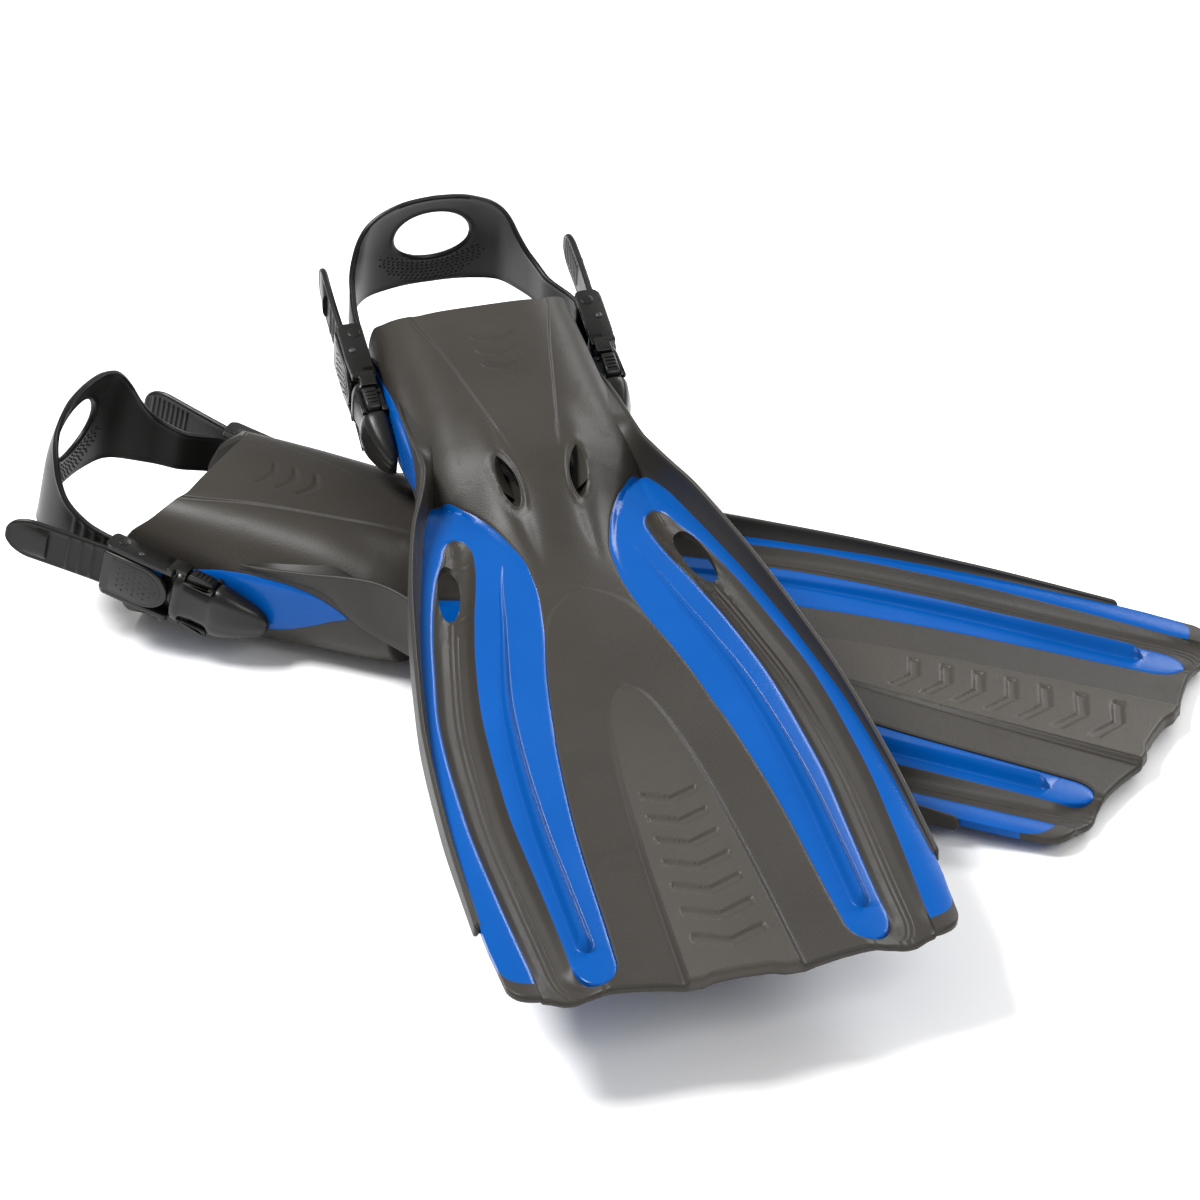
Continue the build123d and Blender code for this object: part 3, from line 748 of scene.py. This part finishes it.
def shell():
    """Points of the fin's shell, and the quads of its body and of both panels."""
    y = row_positions()[:, None]
    o = outlines(y[:, 0])
    x = column_x(o, y)
    points, side_z, sole = surfaces(o, x, y)
    skins = cavity(o, y, points, side_z, sole)
    lips = [(0.5 * (outer[0] + inner[0]) + [0, -1.3, 0])[None] for outer, inner in zip(points, skins)]
    grids = [whole(grid) for grid in points + skins + lips]
    width = grids[0].shape[1]
    offsets = np.cumsum([0] + [grid.shape[0] * width for grid in grids])
    half_labels = cell_labels(x, y)
    labels = np.concatenate([half_labels[:, ::-1], half_labels], 1)
    right = np.arange(width - 1) >= half_labels.shape[1]

    def at(grid, mask):
        return cells(*np.nonzero(mask), width, offsets[grid])

    def region(mask, underside):
        """Both sides of a region and the walls along its outline."""
        faces = [at(OUTSIDE, mask), at(UNDERSIDE, underside)[:, ::-1]]
        around = np.pad(labels, 1)
        for (i, j), start, end in borders(mask):
            # walls round a vent end at the cavity, and the heel's edge has a lip instead
            grid = np.where(around[i + 1, j + 1] == VENT_CELL, ROOF, UNDERSIDE)
            faces.append(wall(start, end, width, offsets[OUTSIDE], offsets[grid])[i >= 0])
        return faces

    grey, blue = labels == GREY_CELL, labels == BLUE_CELL
    body = region(grey, grey | (labels == VENT_CELL))
    inside = len(skins[0]) - 1
    body.append(at(ROOF, grey[:inside])[:, ::-1])
    body.append(at(INSOLE, np.ones_like(grey[:inside])))
    # the lip round the opening, and the wall where the cavity ends at the toes
    j, toe = np.arange(width - 1), inside * width
    for first, second, row in ((TOP_LIP, OUTSIDE, 0), (ROOF, TOP_LIP, 0), (UNDERSIDE, SOLE_LIP, 0),
                               (SOLE_LIP, INSOLE, 0), (INSOLE, ROOF, toe)):
        a, b = offsets[first] + row + j, offsets[second] + row + j
        body.append(np.stack([a, a + 1, b + 1, b], -1))
    panels = {"panel_right": blue & right, "panel_left": blue & ~right}
    regions = {"body": body, **{name: region(mask, mask) for name, mask in panels.items()}}
    return np.concatenate([grid.reshape(-1, 3) for grid in grids]), regions


def paint_light_tone(ob, fin):
    """Painted light as the attribute that the material reads: the wedge painted lighter, more so towards the
    tip, as if its slope caught the light, and a painted highlight along the arch's crease.
    """
    co = np.zeros(len(ob.data.vertices) * 3, np.float32)
    ob.data.vertices.foreach_get("co", co)
    axes, origin = PLACES[fin]
    x, y, z = ((co.reshape(-1, 3) / MM - origin) @ axes).T
    x = np.abs(x)
    on_wedge = (1 - step(-1.2, 1, x - WEDGE_X(y))) * step(-187, -180, y) * (z > 0)
    # painted light: the wedge is lighter, more so towards the tip
    tone = 1 + (0.2 + 0.4 * step(-180, -60, y)) * on_wedge
    # painted highlight: a light line along the arch's crease
    tone += 0.32 * bell(x - ARCH_X(y), 1.1) * between((-266, -262), (-190, -165), y)
    ob.data.attributes.new("tone", "FLOAT", "POINT").data.foreach_set("value", tone.astype(np.float32))


# ---------------------------------------------------------------- rails and lugs
CREST_X = curve([
    (-440, 51.5), (-430, 52.6), (-415, 53.6), (-397, 54.1), (-379, 54.3), (-365, 55), (-352, 57.8),
    (-340, 61.8), (-320, 69.8), (-280, 80.3), (-240, 88), (-213, 92.6), (-165, 99.7), (-120, 103.5),
    (-89, 105.2), (-30, 106.5),
])
CREST_Z = curve([
    (-440, 7.4), (-418, 11), (-397, 14.2), (-379, 17.2), (-365, 19), (-352, 19.8), (-340, 19.2), (-320, 17),
    (-300, 15), (-280, 14), (-240, 12.6), (-213, 11.4), (-165, 9.2), (-120, 7.4), (-89, 6.3), (-50, 4.8),
    (-30, 4),
])
SKIRT_X = curve([
    (-392, 55.2), (-379, 57), (-365, 59.8), (-352, 62.8), (-340, 66), (-320, 72.8), (-280, 82.8),
    (-240, 90.2), (-213, 94.8), (-165, 101.6), (-120, 105.3), (-89, 107), (-30, 108),
])
SKIRT_Z = curve([
    (-440, 4.6), (-400, 4.4), (-388, 2), (-376, -5), (-360, -9), (-330, -12), (-280, -12), (-220, -9.5),
    (-150, -6.5), (-100, -5), (-30, -3.5),
])
RAIL_START, RAIL_ROUND, RAIL_END = -439.5, -33, -30  # the blunt end is rounded over the last stretch
CREST_RADIUS = 1.25


def rail_ring(y):
    """Section of the rail: inner face, round crest, outer skirt and foot."""
    on_blade = float(step(-394, -354, y))
    x, z, low = (float(c(y)) for c in (CREST_X, CREST_Z, SKIRT_Z))
    on_pocket = float(surf_x(y, min(z + 1.6, float(TOP_Z(y)) - 2)))
    face_x = blend(on_pocket, min(float(SIDE_X(y)) - 0.3, x - 2.4), on_blade)
    face_z = blend(z + 1.4, 2.3, on_blade)
    r = blend(0.3, CREST_RADIUS, float(step(-442, -425, y)))
    skirt = blend(float(surf_x(y, low)) + 0.15, float(SKIRT_X(y)), float(step(-392, -365, y)))
    points = [(face_x - 1.5, face_z - 2 - 1.5 * on_blade)]
    for t in np.linspace(0, 1, 7)[:-1]:
        sag = 0.5 * math.sin(math.pi * t) * on_blade
        points.append((blend(face_x, x - 0.87 * r, t) + sag, blend(face_z, z - 0.5 * r, t) - sag * 0.6))
    for turn in np.radians(np.linspace(150, 0, 8)):
        points.append((x + r * math.cos(turn), z - r + r * math.sin(turn)))
    for t in np.linspace(0, 1, 7)[1:]:
        points.append((blend(x + r, skirt, t), blend(z - r, low + 0.7, t)))
    for inset, rise in ((0.25, 0.2), (0.8, 0), (1.7, 0.2), (2.4, 1.2)):
        points.append((skirt - inset, low + rise))
    points.append((skirt - 2.8, min(low + 3, blend(low + 2, -1.6, on_blade))))
    points.append((face_x - 1.8, blend(face_z - 5, -1.6, on_blade)))
    p = np.array(points)
    if y > RAIL_ROUND:
        centre = np.array([x - 0.2, 0.5 * (z + low)])
        late = (y - RAIL_ROUND) / (RAIL_END - RAIL_ROUND)
        p = centre + (p - centre) * math.sqrt(max(0.01, 1 - late ** 2))
    return np.column_stack([p[:, 0], np.full(len(p), y), p[:, 1]])


def rail_parts():
    last = RAIL_END - np.array([3.2, 2.2, 1.3, 0.6, 0.2, 0.05])
    ys = np.concatenate([np.arange(RAIL_START, RAIL_END - 3.5, 2.5), last])
    return [stitch([rail_ring(y) for y in ys])]


LUG_HI = curve([
    (-505, -9), (-485, -6), (-465, -1.4), (-448, 2.4), (-430, 3.8), (-415, 3.7), (-400, 2), (-388, -1.2),
    (-380, -4.4), (-377, -5.8),
])
LUG_LO = curve([
    (-505, -32), (-475, -33), (-445, -30), (-420, -25.5), (-398, -16.5), (-385, -9.6), (-377, -6.2),
])
POST_U = 72
POST = ((52, 4), (61.4, 4), (61.9, 4.9), (63.6, 4.9), (64, 4.4), (64, 0.01))  # (x, radius)


def lug_parts():
    """Blue lug on the pocket's side, and the post that the buckle's receiver turns on."""
    across = spread(28)
    q = np.abs(2 * across - 1)
    rows = []
    for y in np.concatenate([np.linspace(-504.5, -384, 52), np.linspace(-382.5, -377.2, 8)]):
        lo, hi = float(LUG_LO(y)), float(LUG_HI(y))
        z = lo + (hi - lo) * across
        skin = surf_x(np.full(len(z), y), z)
        raised = np.maximum(54.4 - skin, 0) * (1 - q ** 5) * (1 - 0.6 * step(-415, -380, y))
        groove = 0.3 * bell(z - (0.45 * lo + 0.55 * hi - 1), 0.4) * between((-446, -440), (-392, -384), y)
        x = skin + 0.45 + raised - groove
        x[[0, -1]] = skin[[0, -1]] - 2.5
        rows.append(np.column_stack([x, np.full(len(x), y), z]))
    first, last = rows[0] - [4, 0, 0], rows[-1].copy()
    last[:, 0] = 52
    rows = [first] + rows + [last]
    post = []
    for x, r in POST:
        ring = circle(POST_U, 0, r)
        post.append(from_buckle(np.column_stack([np.full(len(ring), x), ring])))
    return [(np.concatenate(rows), grid_faces(len(rows), len(across), closed=False)),
            (np.concatenate(post), grid_faces(len(post), len(post[0])))]


# ---------------------------------------------------------------- heel strap
# The bar that the strap is folded round, and the radius of the fold
BAR_X, BAR_U, WRAP = FRAME_BAR[0] - BUCKLE_SHIFT, FRAME_BAR[1], 4.35
TAIL = 60


def strap_path():
    """Right half of the strap's centre line in (x, u), from the heel's middle to the tail's tip."""
    run = BAR_X - WRAP
    heel = [(0, -57), (19, -55.5), (37, -49), (49.5, -36), (55, -20), (run, -BAR_U)]
    c = np.array([(-19, -55.5)] + heel + [(run, BAR_U)], float)
    points = []
    for p0, p1, p2, p3 in zip(c, c[1:], c[2:], c[3:]):
        for t in np.linspace(0, 1, 40, endpoint=False):
            points.append(0.5 * (2 * p1 + (p2 - p0) * t + (2 * p0 - 5 * p1 + 4 * p2 - p3) * t * t
                                 + (3 * p1 - p0 - 3 * p2 + p3) * t ** 3))
    for u in np.linspace(-BAR_U, BAR_U, 14, endpoint=False):
        points.append((run, u))
    for a in np.linspace(math.pi, 0, 30):
        points.append((BAR_X + WRAP * math.cos(a), BAR_U + WRAP * math.sin(a)))
    for t in np.linspace(0.02, 1, 60):
        points.append((BAR_X + WRAP + 1.6 * t - 4 * t * t, BAR_U - TAIL * t))
    points = np.array(points)
    return np.append(0, np.cumsum(np.linalg.norm(np.diff(points, axis=0), axis=1))), points


PATH_S, PATH = strap_path()
S_END = PATH_S[-1]
STRAP_TOP = curve([
    (0, 50.5), (14, 49.3), (28, 45.5), (38, 40), (46, 33.5), (54, 24.5), (62, 17.5), (72, 13.5), (80, 12),
    (90, 11.5), (200, 11.5),
])
STRAP_LOW = curve([(0, -15.4), (20, -15), (45, -13.2), (70, -11.8), (90, -11.5), (200, -11.5)])
FINGER_W, FINGER_S, FINGER_H = 20, 20, 16.5  # finger hole: its height and its half sizes
TAIL_START = 120  # from here on the outline narrows to the tail's tip
STRAP_BANDS = [14, 12, 14]  # cells below, across and above the finger hole
# How each strap flexes: shift of the heel's part in (x, u, w), and spread of the tails
FLEX = {"lower": ((5.5, -2, 3), 10), "upper": ((6.5, -1, -5), 2)}


def on_path(s):
    """x and u on the centre line at the signed distance s from the heel's middle."""
    return np.interp(np.abs(s), PATH_S, PATH[:, 0]) * np.sign(s), np.interp(np.abs(s), PATH_S, PATH[:, 1])


def strap_columns(s):
    """Heights of the strap's points for each distance s, and its lower and upper edge."""
    tip = np.where(s > TAIL_START, arc(1 - clip01((S_END - s) / 15)), 1)
    hi, lo = STRAP_TOP(s) * tip, STRAP_LOW(s) * tip
    half = FINGER_H * arc(s / FINGER_S)
    middle = blend(FINGER_W, 0.5 * (hi + lo), step(22, 60, s))
    beside_hole = s < FINGER_S
    below, above = (np.where(beside_hole, FINGER_W + k * half, middle) for k in (-1, 1))
    limits = np.stack([lo, below, above, hi], 1)
    band, part = columns(STRAP_BANDS)
    w = limits[:, band] + (limits[:, band + 1] - limits[:, band]) * part
    return w, lo[:, None], hi[:, None]


def strap_thickness(s, w, lo, hi):
    """Distances of the two faces from the centre line: beaded edge, ribs and the tail's relief."""
    from_hole = np.abs(np.hypot(s / FINGER_S, (w - FINGER_W) / FINGER_H) - 1) * 17
    edge = np.minimum(np.minimum(w - lo, hi - w), np.where(s < 26, from_hole, 99))
    edge = np.minimum(edge, np.where(s > TAIL_START, (S_END - s) * 0.9, 99))
    half = 1.25 * np.sqrt(np.clip(1 - (1 - clip01(edge / 1.1)) ** 2, 0.06, 1))
    in_buckle = between((88, 96), (118, 124), s)
    half = half + 0.38 * bell(edge - 1.5, 0.8) * (1 - in_buckle)
    outer, inner = half.copy(), half.copy()
    inside_edge = step(1.5, 3, edge)
    on_tail = s > S_END - TAIL - 2
    u = BAR_U - (s - (S_END - TAIL - 0.03))
    for rib in (-6.5, -13, -19.5):
        inner += on_tail * inside_edge * 0.95 * ridge(u - rib, 0.8)
    thumb_wedge = clip01((u + 51) / 20) * (u < -30.5) * (u > -51)
    inner += on_tail * 2.2 * thumb_wedge * np.sqrt(clip01(1 - np.abs(w / 8.6) ** 3))
    for rib in np.arange(-48, -24, 3):
        outer += on_tail * (np.abs(w) < 7.5) * inside_edge * 0.7 * ridge(u - rib, 0.75)
    for rib in (70, 76, 82, 88):
        outer += inside_edge * 0.5 * ridge(s - rib, 0.9) * (1 - step(92, 94, s))
    return outer, inner


def strap(flex, tail_spread):
    """Points of the fin frame and quads of one strap."""
    s = np.concatenate([np.arange(0, 16, 1), np.arange(16, 24, 0.5), np.arange(24, 96, 1.2),
                        np.arange(96, S_END - 12, 0.55), np.linspace(S_END - 12, S_END, 26)])
    s = np.unique(np.round(s, 3))
    x, u = on_path(s)
    reach = 0.4
    tx, tu = (np.interp(s + reach, PATH_S, p) - np.interp(s - reach, PATH_S, p) for p in PATH.T)
    tx[0], tu[0] = 1, 0
    length = np.hypot(tx, tu)
    w, lo, hi = strap_columns(s)
    col = s[:, None]
    lean = 0.0042 * np.maximum(w - 15, 0) ** 2 * (1 - step(30, 78, col))
    signed = np.append(-s[:0:-1], s)[:, None]
    dist, far = np.abs(signed), signed < 0
    skins = []
    for sign, thick in zip((1, -1), strap_thickness(col, w, lo, hi)):
        offset = sign * thick
        skin = np.stack([x[:, None] + (tu / length)[:, None] * offset,
                         u[:, None] - (tx / length)[:, None] * offset + lean, w], -1)
        skin = np.concatenate([skin[:0:-1] * [-1, 1, 1], skin])
        skin += np.array(flex) * (1 - step(24, 84, dist))[..., None]
        # the far side is narrower, and the tails stand off
        skin[..., 0] += far * 10 * between((26, 62), (74, 97), dist)
        skin[..., 0] += np.where(far, -1, 1) * tail_spread * clip01((dist - S_END + 58) / 58) ** 1.4
        skins.append(skin)
    rows, width = skins[0].shape[:2]
    middle_s = 0.5 * (signed[1:] + signed[:-1])
    in_hole = (np.abs(middle_s) < FINGER_S) & (np.repeat([0, 1, 2], STRAP_BANDS) == 1)
    back = rows * width
    i, j = np.nonzero(~in_hole)
    quads = [cells(i, j, width), cells(i, j, width, back)[:, ::-1]]
    quads += [wall(start, end, width, 0, back) for _, start, end in borders(~in_hole)]
    return from_buckle(np.concatenate([skin.reshape(-1, 3) for skin in skins])), np.concatenate(quads)


STUD_REACH = (17, 22, 25, 27, 28, 27, 25)  # half length of each row of studs


def strap_studs(flex):
    """Studs on the heel's inner face in a crescent below the finger hole."""
    studs = []
    for row, reach in enumerate(STUD_REACH):
        for s in np.arange(-reach, reach + 0.1, 2.7) + (1.35 if row % 2 else 0):
            w = -12 + 2.3 * row + 0.0125 * s * s
            if np.hypot(s / 21.6, (w - FINGER_W) / 18.4) < 1 or w > 14:
                continue
            x, u = on_path(s)
            normal = np.array([-x / 70, 1, 0])
            normal /= np.linalg.norm(normal)
            centre = np.array([x, u, w]) + normal * 1.15 + np.array(flex) * float(1 - step(24, 84, abs(s)))
            points, faces = dome(centre, ((normal[1], -normal[0], 0), (0, 0, 1), normal), 0.72, 0.684)
            studs.append((from_buckle(points), faces))
    return studs


# ---------------------------------------------------------------- buckle
# Stations of the receiver: u, half height and outer x. It narrows at the tab windows and at the nose.
RECEIVER = [
    (39, 13.6, 72), (39.4, 14.6, 73), (40.2, 15, 73.5), (43.2, 15.1, 73.7), (44, 14.7, 73.5),
    (44.5, 12.9, 73.3), (45.4, 12, 73.1), (52, 11.5, 72.6), (58.5, 11.4, 72.9), (60.2, 12.2, 73.1),
    (61.4, 14, 73.3), (62.6, 14.5, 73.4), (66, 14.1, 73.1), (70, 13.1, 72.4), (75, 11.6, 71),
    (80, 9.9, 69.2), (84, 8.2, 67.4), (86.5, 6.7, 66), (88.2, 5.2, 64.9), (89.2, 3.4, 63.8),
    (89.7, 1.4, 62.6),
]
RECEIVER_INNER_X = 59.15


def receiver_ring(u, half, outer):
    """Rounded box section with a soft spine along the outer face."""
    turn = np.linspace(0, 2 * np.pi, 44, endpoint=False)
    c, s = np.cos(turn), np.sin(turn)
    across = np.sign(s) * np.abs(s) ** 0.5
    w = half * np.sign(c) * np.abs(c) ** 0.52 * np.where(across > 0, 1 - 0.20 * across ** 2, 1)
    inner = RECEIVER_INNER_X + max(0, (u - 84) * 0.30)
    x = 0.5 * (inner + outer) + 0.5 * (outer - inner) * across
    spine = 0.9 * float(step(60, 64, u)) * clip01(1 - np.abs(w) / (0.42 * half)) ** 0.8
    return np.column_stack([x + np.where(across > 0, spine, 0), np.full(len(turn), u), w])


def receiver_parts():
    """Bullet-shaped half of the quick release with moulded frames round its tab windows."""
    parts = [stitch([receiver_ring(*station) for station in RECEIVER])]
    for s in (1, -1):
        lip = [(45.2, s * 11.2), (45.2, s * 13.4), (47.4, s * 13.4), (47.4, s * 11.2)]
        rim = round_poly([(44, s * 11), (60.6, s * 11), (61.4, s * 14.2), (58.6, s * 14.4), (57.4, s * 12.4),
                          (44, s * 12.2)], 0.6)
        parts.append(prism_x(round_poly(lip, 0.5), 60, 62, 0.3))
        parts.append(prism_x(rim, 59.3, 62, 0.3))
        parts.append(prism_x(rim, 70, 72.3, 0.5))
    return parts


def frame_parts():
    """Two side plates with pin bosses, the cross wall and the tongue."""
    plate = [(60, 38), (60, 0.2), (62.6, -1.2), (70.6, -1.2), (72.9, 1.6), (73.1, 24), (72.4, 38)]
    guide = [(61.2, 44.4), (61.2, 34.6), (72.6, 34.6), (72.6, 37.6), (69.4, 38.6), (69.4, 44.4)]
    parts = []
    for s in (1, -1):
        parts.append(prism_beside(s, round_poly(plate, 1.4), 12.2, 15, 0.55))
        parts.append(prism_beside(s, round_poly(guide, 0.6), 12.4, 16.4, 0.5))
        for place, r in ((FRAME_BAR, 3.4), (LEVER_PIN, 1.9)):
            parts.append(prism_beside(s, circle(*place, r), 14.7, 15.25, 0.2, 2))
    parts.append(prism_x(round_poly([(30, -15), (38, -15), (38, 15), (30, 15)], 0.8), 60, 67, 0.5))
    parts.append(prism_x(round_poly([(38, -6), (61, -6), (61, 6), (38, 6)], 1.5), 62.3, 69.3, 0.6))
    return parts


def tab_parts(s):
    """Release tab with four grip ridges, on the upper (1) or the lower (-1) side."""
    arm = round_poly([(38.4, s * 8.7), (60, s * 8.7), (60.2, s * 12), (59.4, s * 15.2), (56.6, s * 16.2),
                      (46.4, s * 16.2), (44.9, s * 14.6), (44.6, s * 10.8), (38.4, s * 10.8)], 1.1)
    parts = [prism_x(arm, 62.5, 69.6, 0.7)]
    for u in (49, 51.4, 53.8, 56.2):
        grip = [(u - 0.55, s * 15.6), (u + 0.55, s * 15.6), (u + 0.55, s * 16.7), (u - 0.55, s * 16.7)]
        parts.append(prism_x(round_poly(grip, 0.3, 3), 63.4, 68.7, 0.25, 2))
    return parts


# Dots on the lever: u of each row and the heights w in it
LEVER_DOTS = [
    (9.5, (-5.4, -1.8, 1.8, 5.4)), (12.6, (-7.2, -3.6, 0, 3.6, 7.2)), (15.7, (-5.4, -1.8, 1.8, 5.4)),
    (18.8, (-7.2, -3.6, 0, 3.6, 7.2)), (21.9, (-5.4, -1.8, 1.8, 5.4)), (25, (-7, -3.6, 0, 3.6, 7)),
    (28.1, (-4.4, -1.5, 1.5, 4.4)), (31, (-2.6, 0, 2.6)),
]


def half_oval(u, along, across, count):
    """Round end of a plate, bulging towards larger u."""
    turn = np.linspace(-math.pi / 2, math.pi / 2, count)
    return [(u + along * math.cos(a), across * math.sin(a)) for a in turn]


def lever_parts():
    """Dotted thumb plate, the rib along its hinge end, and two hinge eyes with their webs."""
    hinge_end = [(0.2, 11.2), (0, 10.4), (0, -10.4), (0.2, -11.2), (1, -11.8)]
    plate = hinge_end + half_oval(22, 15.4, 11.8, 25) + [(1, 11.8)]
    inset = [(5, 9.9), (5, -9.9)] + half_oval(20.5, 13.6, 9.9, 21)
    parts = [prism_x(plate, 71.35, 74.1, 0.75, 4), prism_x(inset, 73.6, 74.35, 0.35, 2)]
    for u, heights in LEVER_DOTS:
        for w in heights:
            parts.append(dome(np.array([74.3, u, w]), ((0, 1, 0), (0, 0, 1), (1, 0, 0)), 0.62, 0.496))
    rib = round_poly([(0.2, -11.4), (3.4, -11.4), (3.4, 11.4), (0.2, 11.4)], 0.6)
    parts.append(prism_x(rib, 70.75, 72.5, 0.3))
    web = round_poly([(68.2, 15.6), (72.2, 15), (72.2, 21), (68.2, 20.4)], 0.5)
    for s in (1, -1):
        parts.append(prism_beside(s, circle(*LEVER_PIN, 2.6), 7.5, 11.4, 0.3))
        parts.append(prism_beside(s, web, 7.5, 11.4, 0.3))
    return parts


def rod_parts(place, radius, half):
    return [prism(circle(*place, radius, 28), -half, half, 0.35)]


# ---------------------------------------------------------------- assemble
def add(ob, body, nodes):
    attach(ob, body)
    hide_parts(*nodes)


def placed(fin, parts, side, in_buckle):
    """Parts in the shared frame; side -1 mirrors them to the left."""
    out = []
    for points, faces in parts:
        if in_buckle:
            points = from_buckle(points - np.array([BUCKLE_SHIFT, 0, 0]))
        out.append((to_row(fin, points * np.array([side, 1, 1])), faces))
    return out


# Pieces on both sides: piece, ending of its name, body (None: its own), parts, slot
SIDE_PIECES = [
    ("rail", "_moulding", "fin", rail_parts(), "dark_rail"),
    ("lug", "", "fin", lug_parts(), "blue_plastic"),
    ("receiver", "_moulding", "receivers", receiver_parts(), "black_plastic"),
    ("frame", "_moulding", "strap_unit", frame_parts(), "black_plastic"),
    ("lever", "_moulding", None, lever_parts(), "black_plastic"),
    ("tab_top", "_moulding", None, tab_parts(1), "black_plastic"),
    ("tab_bottom", "_moulding", None, tab_parts(-1), "black_plastic"),
    ("bar", "_rod", "strap_unit", rod_parts(FRAME_BAR, 3, 15.5), "black_plastic"),
    ("lever_pin", "_rod", "strap_unit", rod_parts(LEVER_PIN, 1.5, 15.5), "pin_steel"),
]

shell_points, shell_regions = shell()
for fin in ("lower", "upper"):
    for name, faces in shell_regions.items():
        slot = "grey_rubber" if name == "body" else "blue_plastic"
        ob = sheet(f"{fin}_{name}_moulding", fin, shell_points, np.concatenate(faces), slot, 38)
        if name == "body":
            # painted light on the grey body: lighter wedge and a highlight along the arch's crease
            paint_light_tone(ob, fin)
        add(ob, f"{fin}_fin", [f"{fin}_{name}"])
    flex, tail_spread = FLEX[fin]
    band = sheet(f"{fin}_heel_strap", fin, *strap(flex, tail_spread), "strap_rubber", 50)
    studs = solid(f"{fin}_strap_studs", placed(fin, strap_studs(flex), 1, False), "strap_rubber")
    for ob in (band, studs):
        add(ob, f"{fin}_strap_unit", [f"{fin}_strap"])
    for side_name, side in (("right", 1), ("left", -1)):
        for piece, ending, body, parts, slot in SIDE_PIECES:
            in_fin = piece in ("rail", "lug")
            ob = solid(f"{fin}_{piece}_{side_name}{ending}", placed(fin, parts, side, not in_fin), slot)
            # the lug belongs to the panel's node
            cad_node = f"{fin}_{'panel' if piece == 'lug' else piece}_{side_name}"
            add(ob, f"{fin}_{body}" if body else cad_node, [cad_node])

# ---------------------------------------------------------------- camera, floor and light
CAMERA_PLACE = (1.13754, -2.10445, 1.42981)
CAMERA_VIEW = (-0.3999, 0.77307, -0.49239)
CAMERA_UP = (-0.14845, 0.47549, 0.8671)
LENS, SENSOR = 170.9, 36
CENTRE_POINT = (0, 0, 0.05)
FLOOR_HALF, FLOOR_DROP = 6, 0.0002
# Area lights: place, size and power
LIGHTS = {"key": ((-1, -0.4, 2), (1, 0.7), 74), "fill": ((1.8, -1, 1.6), (1.2, 1), 24),
          "back": ((0.6, 2, 1.4), (1.8, 0.5), 34)}
SKY_STRENGTH = 0.46


def add_camera():
    view = Vector(CAMERA_VIEW).normalized()
    right = view.cross(Vector(CAMERA_UP)).normalized()
    camera = bpy.data.objects.new("camera", bpy.data.cameras.new("camera"))
    bpy.context.collection.objects.link(camera)
    turn = Matrix((right, right.cross(view), -view)).transposed().to_4x4()
    camera.matrix_world = Matrix.Translation(CAMERA_PLACE) @ turn
    camera.data.lens = LENS
    camera.data.sensor_width = SENSOR
    camera.data.clip_end = 30
    bpy.context.scene.camera = camera


def add_floor():
    mesh = bpy.data.meshes.new("floor")
    h = FLOOR_HALF
    mesh.from_pydata([(-h, -h, 0), (h, -h, 0), (h, h, 0), (-h, h, 0)], [], [(0, 1, 2, 3)])
    mesh.materials.append(material("floor", (250, 250, 250), 0.9, 0.1, 0, 10, 0, 1))
    floor = bpy.data.objects.new("floor", mesh)
    floor.location.z = -FLOOR_DROP
    bpy.context.collection.objects.link(floor)


def add_light(name, place, size, power):
    light = bpy.data.lights.new(name, "AREA")
    light.shape = "RECTANGLE"
    light.size, light.size_y = size
    light.energy = power
    ob = bpy.data.objects.new(name, light)
    ob.location = place
    ob.rotation_euler = (Vector(CENTRE_POINT) - Vector(place)).to_track_quat("-Z", "Y").to_euler()
    bpy.context.collection.objects.link(ob)


add_camera()
add_floor()
for name, (place, size, power) in LIGHTS.items():
    add_light(name, place, size, power)
world = bpy.data.worlds.new("world")
world.use_nodes = True
sky = world.node_tree.nodes["Background"]
sky.inputs["Color"].default_value = (1, 1, 1, 1)
sky.inputs["Strength"].default_value = SKY_STRENGTH
bpy.context.scene.world = world
bpy.context.scene.view_settings.view_transform = "Standard"
